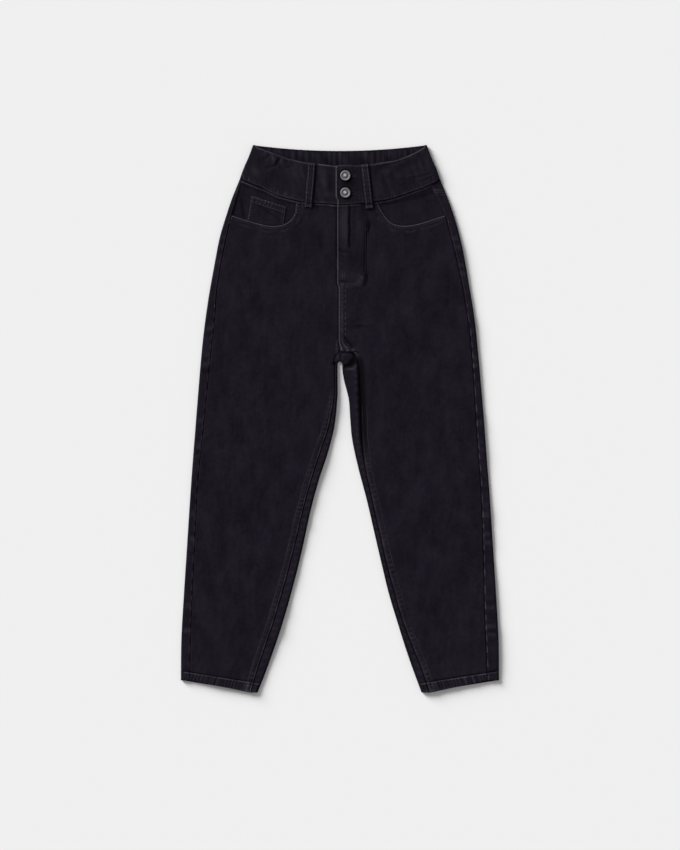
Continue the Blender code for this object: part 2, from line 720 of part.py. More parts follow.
def build_back_loop(name, x, material):
    """Belt loop under the back waistband, which rests on it."""
    low = back_band_seam(abs(x)) + 1.0
    high = mix(BACK_TOP_CENTRE, HALF_LENGTH, (abs(x) / band_edge_at(HALF_LENGTH)) ** 2) - 1.0
    rows = []
    for y in (low, high):
        rows.append([(x + across * LOOP_WIDTH, y, 0.0) for across in (-0.5, 0.5)])
    grid_cloth(name, rows, [DENIM] * len(rows), False, material)


def build_jeans():
    remove_scene_objects()
    denim = make_material("black_denim", BLACK_DENIM, 0.86, 0.0)
    metal = make_material("dull_nickel", DULL_NICKEL, 0.42, 1.0)
    for leg in LEGS:
        build_back_panel(leg, denim)
        build_back_pocket(leg, denim)
        build_yoke(leg, denim)
        build_front_panel(leg, denim)
        build_facing(leg, denim)
        band = build_front_band(leg, denim)
    for number, y in enumerate(BUTTON_HEIGHTS):
        cut_buttonhole(band, "buttonhole_cutter_" + str(number + 1), y, denim)
    build_back_band(denim)
    build_coin_pocket(LEGS[0], denim)
    build_fly_shield(denim)
    build_button("button_upper", BUTTON_HEIGHTS[0], metal)
    build_button("button_lower", BUTTON_HEIGHTS[1], metal)
    for name, x in FRONT_LOOPS:
        build_front_loop(name, x, denim)
    for name, x in BACK_LOOPS:
        build_back_loop(name, x, denim)


build_jeans()
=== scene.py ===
"""Mom jeans in black denim, laid flat on their back and seen from straight above.

Tables and sizes are in millimetres. X runs to the wearer's left, Y to the waist and Z up.
"""

import math
from collections import namedtuple

import bmesh
import bpy
import numpy as np
from mathutils import Matrix, Vector
from mathutils.bvhtree import BVHTree


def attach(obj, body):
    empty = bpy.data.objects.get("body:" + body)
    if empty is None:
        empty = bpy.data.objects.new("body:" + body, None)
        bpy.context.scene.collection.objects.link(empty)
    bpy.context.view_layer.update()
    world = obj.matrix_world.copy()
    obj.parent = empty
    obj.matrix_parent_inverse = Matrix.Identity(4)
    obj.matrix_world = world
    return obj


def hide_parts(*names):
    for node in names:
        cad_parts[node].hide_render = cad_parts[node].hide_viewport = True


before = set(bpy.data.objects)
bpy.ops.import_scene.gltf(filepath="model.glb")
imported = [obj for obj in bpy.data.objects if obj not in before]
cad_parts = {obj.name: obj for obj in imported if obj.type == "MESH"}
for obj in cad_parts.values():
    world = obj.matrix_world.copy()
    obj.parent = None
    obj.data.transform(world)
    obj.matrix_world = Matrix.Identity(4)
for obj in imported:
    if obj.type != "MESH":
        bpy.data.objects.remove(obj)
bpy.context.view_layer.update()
MM = 0.001
scene = bpy.context.scene

# Camera
# It hangs high above the jeans with a long lens and looks straight down. Its frame is portrait, and
# its top is towards the waist.

VIEW_LENGTH = 1.5725
CAMERA_HEIGHT = 6.0
CAMERA_MIDDLE = (0.00017, -0.01144)
SENSOR = 36.0

camera_data = bpy.data.cameras.new("camera")
camera_data.sensor_width = SENSOR
camera_data.lens = SENSOR * CAMERA_HEIGHT / VIEW_LENGTH
camera_data.clip_end = 50.0
camera = bpy.data.objects.new("camera", camera_data)
camera.location = (*CAMERA_MIDDLE, CAMERA_HEIGHT + 6.0 * MM)
scene.collection.objects.link(camera)
scene.camera = camera

# Studio
# A pale sheet of paper under the jeans, a wide soft light low at the upper left, and even light from
# all round that fills its shadows.

PAPER = (0.80, 0.80, 0.80)
FLOOR_SIZE = 8.0
KEY_ELEVATION = math.radians(21.0)
KEY_AZIMUTH = math.radians(137.0)
KEY_SPREAD = math.radians(30.0)
KEY_STRENGTH = 6.3
FILL_STRENGTH = 0.365


class Signal:
    """A value in a shader. Sums on it add Math nodes."""

    def __init__(self, finish, socket):
        self.finish = finish
        self.socket = socket

    def maths(self, operation, *others):
        sockets = {0: self}
        for number, other in enumerate(others):
            sockets[number + 1] = other
        return self.finish.node("ShaderNodeMath", {"operation": operation}, sockets)

    def __add__(self, other):
        return self.maths("ADD", other)

    __radd__ = __add__

    def __sub__(self, other):
        return self.maths("SUBTRACT", other)

    def __rsub__(self, other):
        return self.finish.node("ShaderNodeMath", {"operation": "SUBTRACT"}, {0: other, 1: self})

    def __mul__(self, other):
        return self.maths("MULTIPLY", other)

    __rmul__ = __mul__


class Finish:
    """A material with its nodes. Each node is made by one call, and its output is a Signal."""

    def __init__(self, name):
        self.material = bpy.data.materials.new(name)
        self.material.use_nodes = True
        self.tree = self.material.node_tree
        self.shader = self.tree.nodes["Principled BSDF"]

    def feed(self, socket, value):
        if isinstance(value, Signal):
            self.tree.links.new(value.socket, socket)
        else:
            socket.default_value = value

    def node(self, kind, settings=None, sockets=None, output=0):
        made = self.tree.nodes.new(kind)
        for key, value in (settings or {}).items():
            setattr(made, key, value)
        for key, value in (sockets or {}).items():
            self.feed(made.inputs[key], value)
        return Signal(self, made.outputs[output])

    def noise(self, place, scale, detail=3.0, roughness=0.5):
        sockets = {"Vector": place, "Scale": scale, "Detail": detail, "Roughness": roughness}
        return self.node("ShaderNodeTexNoise", None, sockets)

    def blend(self, share, first, second):
        """Colour between two colours."""
        sockets = {0: share, 6: first, 7: second}
        return self.node("ShaderNodeMix", {"data_type": "RGBA", "clamp_factor": True}, sockets, 2)

    def stretch(self, place, scale):
        """Place multiplied axis by axis, which draws a pattern out."""
        return self.node("ShaderNodeVectorMath", {"operation": "MULTIPLY"}, {0: place, 1: scale})

    def finish(self, **sockets):
        for key, value in sockets.items():
            self.feed(self.shader.inputs[key.replace("_", " ")], value)
        return self.material


def object_place(finish):
    return finish.node("ShaderNodeTexCoord", None, None, 3)


paper = Finish("studio paper")
paper_grain = paper.noise(object_place(paper), 900.0)
paper_bump = paper.node("ShaderNodeBump", None, {"Strength": 0.03, "Distance": 0.0001, "Height": paper_grain})
paper.finish(Base_Color=(*PAPER, 1.0), Roughness=0.9, Specular_IOR_Level=0.1, Normal=paper_bump)

floor_bm = bmesh.new()
bmesh.ops.create_grid(floor_bm, x_segments=1, y_segments=1, size=FLOOR_SIZE / 2)
floor_mesh = bpy.data.meshes.new("studio_floor")
floor_bm.to_mesh(floor_mesh)
floor_bm.free()
floor_mesh.materials.append(paper.material)
floor = bpy.data.objects.new("studio_floor", floor_mesh)
scene.collection.objects.link(floor)

key_data = bpy.data.lights.new("key_light", "SUN")
key_data.energy = KEY_STRENGTH
key_data.angle = KEY_SPREAD
key_light = bpy.data.objects.new("key_light", key_data)
key_travel = Vector((
    -math.cos(KEY_AZIMUTH) * math.cos(KEY_ELEVATION),
    -math.sin(KEY_AZIMUTH) * math.cos(KEY_ELEVATION),
    -math.sin(KEY_ELEVATION),
))
key_light.rotation_euler = key_travel.to_track_quat("-Z", "Y").to_euler()
scene.collection.objects.link(key_light)

world = bpy.data.worlds.new("studio")
world.use_nodes = True
world.node_tree.nodes["Background"].inputs["Color"].default_value = (1.0, 1.0, 1.0, 1.0)
world.node_tree.nodes["Background"].inputs["Strength"].default_value = FILL_STRENGTH
scene.world = world
scene.view_settings.view_transform = "Standard"

# Back panels
# Two pieces of black twill denim, each cut from the yoke and crotch to the hem. Laid flat, a panel
# lies underneath, turns round both edges of its leg and shows as a strip beside the seams on top.
# Its hem is turned up and sewn once, and each seam's allowances swell the cloth beside it.

Side = namedtuple("Side", "y edge seam")
Inner = namedtuple("Inner", "y seam edge")
Fan = namedtuple("Fan", "turn strip")
Line = namedtuple("Line", "d y")
Fold = namedtuple("Fold", "x0 y0 x1 y1 width depth")
Leg = namedtuple("Leg", "name sign side inner fan scoop")

DENIM = 1.2
HEM_DENIM = 2.2
HALF_GAP = 0.15
PANEL_TOP = 6.2
PANEL_ROLL = PANEL_TOP / 2
THREAD_LIFT = 0.3
POCKET_LIFT = 1.5
HEM_SIDE = -484.0
HEM_DROP = 22.5
HEM_STRAIGHT = -330.0
HEM_DEPTH = 16.5
SIDE_TACK = 206.0
STRAIGHT_TOP = 80.0
CROTCH_ARC_Y = 101.0
CROTCH_ARC_RADIUS = 4.4
CROTCH_SIDE = 106.0
FAN_TOP = 134.0
YOKE_CENTRE = 350.0
YOKE_SIDE = 416.0
LEG_PITCH = 2.5
LEG_ROWS = np.concatenate((
    [HEM_SIDE, HEM_SIDE + 1.2], np.arange(HEM_SIDE + 2.4, HEM_SIDE + 21.0, 0.95),
    np.arange(HEM_SIDE + 22.5, 60.0, LEG_PITCH),
))

RIGHT_SIDE = (
    Side(-484.0, 294.4, 277.3), Side(-408.0, 293.5, 276.0), Side(-328.0, 289.0, 273.0),
    Side(-248.0, 283.8, 269.0), Side(-167.0, 278.6, 265.3), Side(-99.0, 273.9, 261.0),
    Side(-47.0, 269.9, 255.0), Side(54.6, 261.8, 245.0), Side(134.0, 254.9, 237.0),
    Side(186.7, 248.6, 231.0), Side(230.0, 242.2, 228.0), Side(287.7, 231.8, 219.5),
    Side(335.8, 222.4, 209.8), Side(376.0, 210.4, 200.0), Side(406.0, 200.4, 191.5),
    Side(444.0, 185.2, 179.6),
)
LEFT_SIDE = (
    Side(-484.0, 294.4, 273.0), Side(-413.5, 293.8, 270.3), Side(-360.0, 291.2, 268.0),
    Side(-280.0, 286.2, 266.4), Side(-208.0, 281.5, 264.4), Side(-127.0, 276.2, 261.0),
    Side(-78.6, 272.3, 257.5), Side(-19.4, 267.9, 253.0), Side(36.0, 263.5, 250.0),
    Side(118.4, 256.2, 244.4), Side(162.0, 252.0, 240.3), Side(199.0, 247.3, 234.6),
    Side(239.6, 240.5, 228.0), Side(278.4, 234.0, 219.8), Side(319.0, 226.3, 210.2),
    Side(358.0, 216.5, 199.8), Side(378.0, 210.2, 193.8), Side(402.4, 201.8, 182.0),
    Side(431.0, 190.3, 168.8), Side(444.0, 185.2, 163.2),
)
RIGHT_INNER = (
    Inner(-506.5, 164.5, 152.4), Inner(-472.7, 155.0, 138.9), Inner(-426.4, 139.7, 122.1),
    Inner(-380.0, 123.8, 106.7), Inner(-334.0, 110.0, 93.2), Inner(-260.0, 89.7, 74.0),
    Inner(-167.4, 67.5, 53.6), Inner(-112.0, 52.4, 38.5), Inner(-56.4, 34.2, 20.4),
    Inner(-10.0, 19.0, 9.6), Inner(45.0, 9.8, 4.4), Inner(75.0, 9.6, 4.4), Inner(103.0, 10.0, 4.4),
)
LEFT_INNER = (
    Inner(-506.5, 166.7, 151.0), Inner(-459.7, 150.0, 133.6), Inner(-421.0, 134.3, 120.4),
    Inner(-372.8, 115.8, 105.3), Inner(-324.7, 101.9, 90.8), Inner(-272.0, 87.5, 77.9),
    Inner(-212.0, 73.8, 64.0), Inner(-150.8, 59.8, 49.8), Inner(-88.0, 46.5, 33.3),
    Inner(-38.0, 40.5, 22.6), Inner(0.0, 39.0, 19.0), Inner(36.0, 38.1, 16.3),
    Inner(73.0, 36.8, 7.2), Inner(92.0, 35.5, 4.4), Inner(103.0, 33.4, 4.4),
)
RIGHT_FAN = (Fan(0.0, 5.6), Fan(22.5, 8.0), Fan(45.0, 11.0), Fan(67.5, 14.0), Fan(90.0, 19.3))
LEFT_FAN = (Fan(0.0, 29.0), Fan(22.5, 30.0), Fan(45.0, 27.5), Fan(67.5, 20.9), Fan(90.0, 19.3))
RIGHT_SCOOP = (
    Line(200.0, 376.0), Line(178.0, 369.0), Line(155.0, 362.2), Line(140.0, 358.4), Line(125.0, 356.5),
    Line(109.5, 358.0), Line(97.0, 362.8), Line(88.0, 371.2), Line(82.5, 381.9), Line(80.1, 397.3),
    Line(79.4, 408.0),
)
LEFT_SCOOP = (
    Line(194.4, 376.0), Line(178.3, 371.0), Line(159.3, 364.6), Line(139.9, 359.4), Line(124.1, 357.0),
    Line(108.2, 357.8), Line(95.5, 362.6), Line(85.8, 371.6), Line(77.9, 383.1), Line(71.0, 396.5),
    Line(69.6, 405.8),
)
LEGS = (
    Leg("right", -1, RIGHT_SIDE, RIGHT_INNER, RIGHT_FAN, RIGHT_SCOOP),
    Leg("left", 1, LEFT_SIDE, LEFT_INNER, LEFT_FAN, LEFT_SCOOP),
)

# Soft hollows, and ridges where the depth is negative, in the upper layer
FOLDS = (
    Fold(66.0, 96.0, 62.0, -50.0, 13.0, 0.8),
    Fold(150.0, -60.0, 215.0, -95.0, 16.0, 0.9),
    Fold(120.0, -215.0, 205.0, -260.0, 20.0, 1.0),
    Fold(-160.0, -40.0, -225.0, -58.0, 10.0, 0.9),
    Fold(-120.0, -210.0, -210.0, -185.0, 20.0, 0.9),
    Fold(-60.0, 190.0, -125.0, 205.0, 15.0, 0.8),
    Fold(46.0, 168.0, 22.0, 168.0, 6.0, 1.1),
    Fold(12.0, 190.0, 27.0, 180.0, 3.5, -0.8),
    Fold(30.0, 174.0, 58.0, 175.0, 4.0, -0.7),
    Fold(-175.0, -335.0, -230.0, -330.0, 18.0, 0.8),
    Fold(180.0, -370.0, 235.0, -345.0, 18.0, 0.8),
    Fold(-175.0, 214.6, -154.0, 214.6, 5.0, 0.5),
    Fold(0.0, 315.0, 18.0, 308.0, 3.0, 0.7),
    Fold(-40.0, 348.0, -12.0, 282.0, 8.0, 1.3),
)


def follow(table, column, places):
    """One column of a table at the given places, on a smooth curve through its rows."""
    rows = sorted(table)
    at = np.array([row[0] for row in rows])
    value = np.array([row[column] for row in rows])
    slope = np.empty_like(value)
    slope[1:-1] = (value[2:] - value[:-2]) / (at[2:] - at[:-2])
    slope[0] = (value[1] - value[0]) / (at[1] - at[0])
    slope[-1] = (value[-1] - value[-2]) / (at[-1] - at[-2])
    places = np.clip(places, at[0], at[-1])
    low = np.clip(np.searchsorted(at, places) - 1, 0, len(at) - 2)
    span = at[low + 1] - at[low]
    t = (places - at[low]) / span
    start = value[low] * (1 + 2 * t) * (1 - t) ** 2 + slope[low] * span * t * (1 - t) ** 2
    end = value[low + 1] * (3 - 2 * t) * t ** 2 - slope[low + 1] * span * (1 - t) * t ** 2
    return start + end


def smooth_line(points, step):
    """Evenly spaced points on a smooth curve through the given ones."""
    points = np.array(points, dtype=float)
    length = np.concatenate(([0.0], np.cumsum(np.linalg.norm(np.diff(points, axis=0), axis=1))))
    table = [(at, *point) for at, point in zip(length, points)]
    count = max(2, int(round(length[-1] / step)) + 1)
    at = np.linspace(0.0, length[-1], count)
    return np.stack([follow(table, 1, at), follow(table, 2, at)], axis=1)


def beside(line, distance):
    """The line moved sideways, to the left of its direction where the distance is positive."""
    along = np.gradient(line, axis=0)
    along /= np.linalg.norm(along, axis=1)[:, None]
    return line + np.stack([-along[:, 1], along[:, 0]], axis=1) * distance


def mix(start, end, share):
    return start + (end - start) * share


def ease(share):
    share = np.clip(share, 0.0, 1.0)
    return share * share * (3 - 2 * share)


def hump(distance, width):
    return np.exp(-((distance / width) ** 2))


def nearest(line, x, y):
    """Distance from every point to a line, and the length along the line to there."""
    shape = x.shape
    spots = np.stack([x.ravel(), y.ravel()], axis=1)
    start = line[:-1]
    step = line[1:] - start
    size = np.linalg.norm(step, axis=1)
    before = np.concatenate(([0.0], np.cumsum(size)[:-1]))
    distance = np.full(len(spots), 1e9)
    along = np.zeros(len(spots))
    for number in range(len(start)):
        away = spots - start[number]
        share = np.clip(away @ step[number] / size[number] ** 2, 0.0, 1.0)
        gap = np.linalg.norm(away - share[:, None] * step[number], axis=1)
        closer = gap < distance
        distance[closer] = gap[closer]
        along[closer] = before[number] + share[closer] * size[number]
    return distance.reshape(shape), along.reshape(shape)


def ropes(along, pitch, seed):
    """Uneven ripple along a seam, from -1 to 1."""
    wave = np.sin(2 * math.pi * along / pitch + 1.6 * np.sin(along / 19.0 + seed))
    return wave * (0.62 + 0.38 * np.sin(along / 11.0 + 2.3 * seed))


def hand_waves(x, y):
    """Slight waves of cloth that a hand has smoothed out."""
    wide = np.sin(x / 29 + 1.4 * np.sin(y / 71) + 0.6) * np.sin(y / 47 + 1.1 * np.sin(x / 53) + 1.9)
    middling = np.sin(x / 9.7 + 1.8 * np.sin(y / 31) + y / 26) * np.sin(y / 21 - 1.5 * np.sin(x / 24))
    fine = np.sin(x / 4.1 + 2.0 * np.sin(y / 13 + 0.4)) * np.sin(y / 8.3 + 1.7 * np.sin(x / 9.1))
    return 1.0 * wide + 0.55 * middling + 0.16 * fine


def folded(height, folds, x, y):
    """The height, lowered along each fold, which fades out at both its ends."""
    for fold in folds:
        along_x = fold.x1 - fold.x0
        along_y = fold.y1 - fold.y0
        length = math.hypot(along_x, along_y)
        share = ((x - fold.x0) * along_x + (y - fold.y0) * along_y) / length ** 2
        across = ((x - fold.x0) * along_y - (y - fold.y0) * along_x) / length
        reach = ease((share + 0.25) / 0.5) * ease((1.25 - share) / 0.5)
        height = height - fold.depth * reach * hump(across, fold.width)
    return height


def top_height(x, y):
    """Height of the upper layer above the surface, with its folds and slight waves."""
    return folded(PANEL_TOP + hand_waves(x, y), FOLDS, x, y)


def thigh_hollow(leg, y):
    """How far the wearer's left thigh has sunk beside its inseam, from 0 to 1, by height."""
    if leg.sign < 0:
        return 0.0 * y
    return ease((y + 95.0) / 70.0) * ease((118.0 - y) / 14.0)


def leg_track(leg, v):
    """Inner edge of a leg at each side height: a point, the direction across, and the strip's width."""
    slope = HEM_DROP / (HEM_STRAIGHT - HEM_SIDE)
    y = np.where(v < HEM_STRAIGHT, v - slope * (HEM_STRAIGHT - v), v)
    share = (v - STRAIGHT_TOP) / (CROTCH_SIDE - STRAIGHT_TOP)
    y = np.where(v > STRAIGHT_TOP, mix(STRAIGHT_TOP, CROTCH_ARC_Y, np.clip(share, 0, 1)), y)
    turn = np.clip((v - CROTCH_SIDE) / (FAN_TOP - CROTCH_SIDE), 0, 1) * math.pi / 2
    edge_x = np.where(v < CROTCH_SIDE, follow(leg.inner, 2, y), CROTCH_ARC_RADIUS * np.cos(turn))
    edge_y = np.where(v < CROTCH_SIDE, y, CROTCH_ARC_Y + CROTCH_ARC_RADIUS * np.sin(turn))
    strip = follow(leg.inner, 1, y) - follow(leg.inner, 2, y)
    strip = np.where(v < CROTCH_SIDE, strip, follow(leg.fan, 1, np.degrees(turn)))
    return np.maximum(edge_x, HALF_GAP), edge_y, np.cos(turn), np.sin(turn), strip


def inseam_line(leg):
    """The inseam from the hem to the crotch, as distances from the middle and heights."""
    v = np.arange(HEM_SIDE, FAN_TOP + 1.0, 3.0)
    x, y, across_x, across_y, strip = leg_track(leg, v)
    return np.stack([x + across_x * strip, y + across_y * strip], axis=1)


def side_line(leg, low=HEM_SIDE, high=444.0):
    y = np.arange(low, high + 3.0, 4.0)
    return np.stack([follow(leg.side, 2, y), y], axis=1)


def hem_line(leg, lift):
    """Line across a leg at a height above its hem, from the inner to the outer edge."""
    x = np.array([mix(leg.inner[0].edge, leg.side[0].edge, share) for share in np.linspace(0, 1, 60)])
    share = (x - leg.inner[0].edge) / (leg.side[0].edge - leg.inner[0].edge)
    return np.stack([x, HEM_SIDE - HEM_DROP * (1 - share) + lift], axis=1)


def dashes(along, pitch, seed):
    """Uneven lengths along a seam, from 0 to 1."""
    wave = np.sin(2 * math.pi * along / pitch + 1.9 * np.sin(along / 27.0 + seed) + seed)
    return ease(0.45 + 0.9 * wave)


def felled(distance, along, width, seed):
    """Relief of sewn allowances: a ridge beside the seam and a swell that its stitching puckers."""
    ridge = 0.35 * ease(distance / 0.8) * ease((3.4 - distance) / 0.8)
    swell = 0.5 * ease((distance - 3.2) / 1.4) * ease((width + 2.5 - distance) / 4.0)
    blobs = 0.6 * hump(distance - 0.62 * width, 0.36 * width) * ropes(along, 8.8, seed)
    dents = 0.3 * hump(distance - 3.4, 0.6) + 0.25 * hump(distance - width, 0.8)
    ditch = 1.2 * hump(distance, 0.8)
    return ridge + swell + blobs - dents - ditch


def faded(distance, along, width, seed):
    """Where the same allowances are rubbed pale: their crests and both rows of stitching."""
    crests = np.clip(ropes(along, 8.8, seed), 0, 1)
    patches = 0.55 + 0.45 * np.sin(along / 17.0 + seed) * np.sin(along / 41.0 + 2 * seed)
    ridge = 0.42 * hump(distance - 2.2, 0.7) * (0.35 + 0.65 * dashes(along, 37.0, seed))
    swell = 0.36 * hump(distance - 0.6 * width, 0.34 * width) * crests * patches
    row = 0.28 * hump(distance - width, 0.8) * dashes(along, 5.3, seed) * patches
    return ridge + swell + row


def hem_relief(leg, x, y):
    """Relief of the turned hem: thicker, with short ropes across it and a dent along its stitching, and its
    wear, painted highlights and painted shade.
    """
    share = (np.abs(x) - leg.inner[0].edge) / (leg.side[0].edge - leg.inner[0].edge)
    above = y - (HEM_SIDE - HEM_DROP * (1 - np.clip(share, 0, 1)))
    inside = ease((HEM_DEPTH + 0.5 - above) / 1.5)
    lean = np.abs(x) + 0.35 * above
    rope = ropes(lean, 9.6, 1.0 + leg.sign) * ropes(lean, 31.0, 2.0) + 0.45 * ropes(lean, 5.9, 2.0 + leg.sign)
    rope = np.clip(1.25 * rope, -1, 1) * ease(above / 2.0)
    lengths = dashes(np.abs(x), 43.0, 1.0 + leg.sign)
    relief = inside * (0.5 + 0.38 * rope) - 0.75 * hump(above - HEM_DEPTH - 0.6, 1.2)
    relief = relief + 0.5 * hump(above - HEM_DEPTH - 6.0, 4.0) * (0.6 + 0.4 * ropes(np.abs(x), 23.0, 2.0))
    # Wear on the crests and the fold, and a painted highlight on the lip along the stitching
    hem_wear_and_highlight = inside * 0.24 * np.clip(rope, 0, 1) + 0.15 * hump(above - 0.5, 1.0)
    hem_wear_and_highlight = hem_wear_and_highlight + 0.52 * hump(above - HEM_DEPTH + 0.6, 0.75) * (0.35 + 0.65 * lengths)
    corner = np.abs(x) - leg.inner[0].seam - 4.0
    hem_wear_and_highlight = hem_wear_and_highlight + 0.42 * inside * hump(corner, 5.0) * (0.4 + 0.6 * np.clip(ropes(above, 5.0, 1.0), 0, 1))
    # Painted shade in the rope troughs, under the hem's top edge and inside its row
    shade = 0.48 * inside * np.clip(-rope, 0, 1)
    shade = shade + 0.80 * hump(above - HEM_DEPTH - 1.7, 1.2) * (1.0 - 0.45 * lengths)
    shade = shade + 0.30 * hump(above - HEM_DEPTH + 2.6, 0.9) * inside
    return relief, hem_wear_and_highlight, shade


def bring_in(name, mesh, material):
    """A mesh as a smooth piece of the scene, in its material."""
    mesh.shade_smooth()
    mesh.materials.append(material)
    piece = bpy.data.objects.new(name, mesh)
    scene.collection.objects.link(piece)
    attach(piece, "root")
    return piece


def lay_cloth(name, points, wall, outside, material, marks, thick_rows=None):
    """Sheet of cloth on a grid of points of its outer side, whose wall grows inwards.

    outside is 1 where the first cell of the grid looks up and -1 where it looks down. Marks are
    values of each point that its material reads. Points that are not a number are left out.
    """
    rows, columns = points.shape[:2]
    bm = bmesh.new()
    bmesh.ops.create_grid(bm, x_segments=columns - 1, y_segments=rows - 1, size=0.5)
    mesh = bpy.data.meshes.new(name)
    bm.to_mesh(mesh)
    bm.free()
    spots = np.empty(rows * columns * 3)
    mesh.vertices.foreach_get("co", spots)
    spots = spots.reshape(-1, 3)
    row = np.rint((spots[:, 1] + 0.5) * (rows - 1)).astype(int)
    column = np.rint((spots[:, 0] + 0.5) * (columns - 1)).astype(int)
    flat = points[row, column]
    gone = np.isnan(flat[:, 0])
    mesh.vertices.foreach_set("co", (np.nan_to_num(flat) * MM).astype(np.float32).ravel())
    for mark, values in marks.items():
        attribute = mesh.attributes.new(mark, "FLOAT", "POINT")
        filled = np.nan_to_num(np.broadcast_to(values, (rows, columns))[row, column])
        attribute.data.foreach_set("value", np.clip(filled, 0, 1).astype(np.float32))
    cell = np.cross(points[0, 1] - points[0, 0], points[1, 0] - points[0, 0])
    if cell[2] * outside < 0:
        mesh.flip_normals()
    if gone.any():
        bm = bmesh.new()
        bm.from_mesh(mesh)
        bm.verts.ensure_lookup_table()
        missing = [bm.verts[number] for number in np.flatnonzero(gone)]
        bmesh.ops.delete(bm, geom=missing, context="VERTS")
        bm.to_mesh(mesh)
        bm.free()
    piece = bring_in(name, mesh, material)
    solid = piece.modifiers.new("wall", "SOLIDIFY")
    solid.offset = -1.0
    solid.thickness = wall * MM
    if thick_rows is not None:
        kept = np.flatnonzero(~gone)
        thick = [int(number) for number, old in enumerate(kept) if thick_rows[row[old]]]
        piece.vertex_groups.new(name="hem").add(thick, 1.0, "REPLACE")
        solid.vertex_group = "hem"
        solid.thickness = HEM_DENIM * MM
        solid.thickness_vertex_group = wall / HEM_DENIM
    return piece


def cut_of(points):
    """Flat size of the cut of a sheet laid on a grid of points: width, length and area in metres."""
    across = np.linalg.norm(np.diff(points, axis=1), axis=2)
    along = np.linalg.norm(np.diff(points, axis=0), axis=2)
    width = np.nansum(across, axis=1).max() * MM
    length = np.nansum(along, axis=0).max() * MM
    first = points[1:, 1:] - points[:-1, :-1]
    second = points[1:, :-1] - points[:-1, 1:]
    area = np.nansum(np.linalg.norm(np.cross(first, second), axis=2)) / 2 * MM * MM
    return (float(width), float(length)), float(min(area, width * length))


# Upper stitches that would land on the inside of the lower layer, under this height, are left out
INSIDE_HEIGHT = 2.0
RAY_START = 40.0
STITCH_HALF_HEIGHT = 0.26
STITCH_SEAT = 0.05
LOWEST_SEAT = 0.42
SHORTEST_STEP = 0.1


def surface_of(piece):
    """Outer side of a piece, for setting stitches on it."""
    places = [vert.co / MM for vert in piece.data.vertices]
    return BVHTree.FromPolygons(places, [tuple(face.vertices) for face in piece.data.polygons])


def sew(name, lines, surfaces, material, pitch=3.3, length=2.5, width=0.85, below=False):
    """Rows of stitches that lie on the given surfaces. Each stitch is a small grain of thread."""
    ray = Vector((0, 0, 1 if below else -1))
    bm = bmesh.new()
    for line in lines:
        line = np.array(line, dtype=float)
        sizes = np.linalg.norm(np.diff(line, axis=0), axis=1)
        run = np.concatenate(([0.0], np.cumsum(sizes)))
        for at in np.arange(pitch / 2, run[-1], pitch):
            spot, ahead = (Vector((
                np.interp(place, run, line[:, 0]), np.interp(place, run, line[:, 1]), -ray.z * RAY_START,
            )) for place in (at, at + 0.5))
            if (ahead - spot).length < SHORTEST_STEP:
                continue
            hits = [surface.ray_cast(spot, ray) for surface in surfaces]
            hits = [hit for hit in hits if hit[0] is not None]
            if not hits:
                continue
            place, normal, _, _ = min(hits, key=lambda hit: hit[3])
            if not below and place.z < INSIDE_HEIGHT:
                continue
            if normal.dot(ray) > 0:
                normal = -normal
            forward = ahead - spot
            forward = (forward - normal * forward.dot(normal)).normalized()
            across = normal.cross(forward)
            matrix = Matrix((forward, across, normal)).transposed().to_4x4()
            seat = place + normal * STITCH_SEAT
            seat.z = max(seat.z, LOWEST_SEAT)
            matrix.translation = seat
            matrix = matrix @ Matrix.Diagonal((length / 2, width / 2, STITCH_HALF_HEIGHT, 1.0))
            bmesh.ops.create_icosphere(bm, subdivisions=1, radius=1.0, matrix=matrix)
    bmesh.ops.transform(bm, matrix=Matrix.Scale(MM, 4), verts=bm.verts[:])
    mesh = bpy.data.meshes.new(name)
    bm.to_mesh(mesh)
    bm.free()
    return bring_in(name, mesh, material)


# Black denim is a warp-faced twill: fine ribs run up to the right, the warp shows as faint streaks,
# and rubbed places are greyer. The grey mark also holds painted highlights, and the dark mark is
# painted shade in seams, creases, hollows and beside raised parts.
WARP_BLACK = (0.0052, 0.0036, 0.0078, 1.0)
WARP_FADED = (0.0121, 0.0100, 0.0163, 1.0)
WEAR_AND_HIGHLIGHT = (0.098, 0.094, 0.112, 1.0)
PAINTED_SHADE = (0.0010, 0.0008, 0.0013, 1.0)
RIB_PITCH = 1.1

denim = Finish("black denim")
denim_place = object_place(denim)
across_x = denim.node("ShaderNodeSeparateXYZ", None, {0: denim_place}, 0)
across_y = denim.node("ShaderNodeSeparateXYZ", None, {0: denim_place}, 1)
rib_turns = 2 * math.pi / (RIB_PITCH * MM)
twill = ((across_x * (0.80 * rib_turns)) - (across_y * (0.60 * rib_turns))).maths("SINE")
streaks = denim.noise(denim.stretch(denim_place, (520.0, 14.0, 520.0)), 1.0, 2.0)
slubs = denim.noise(denim.stretch(denim_place, (42.0, 27.0, 42.0)), 1.0, 3.0, 0.6)
patches = denim.noise(denim_place, 150.0, 2.0)
grain = denim.noise(denim_place, 700.0, 2.0)
fading = slubs * 1.5 + patches * 0.8 + streaks * 0.55 + grain * 0.35 + twill * 0.06 - 1.12
denim_colour = denim.blend(fading, WARP_BLACK, WARP_FADED)
wear_and_highlight = denim.node("ShaderNodeAttribute", {"attribute_name": "wear_and_highlight"}, None, 2)
painted_shade = denim.node("ShaderNodeAttribute", {"attribute_name": "painted_shade"}, None, 2)
flecks = (denim.noise(denim_place, 420.0, 3.0, 0.7) - 0.42) * 3.2
flecks = flecks.maths("MAXIMUM", 0.0).maths("MINIMUM", 1.0)
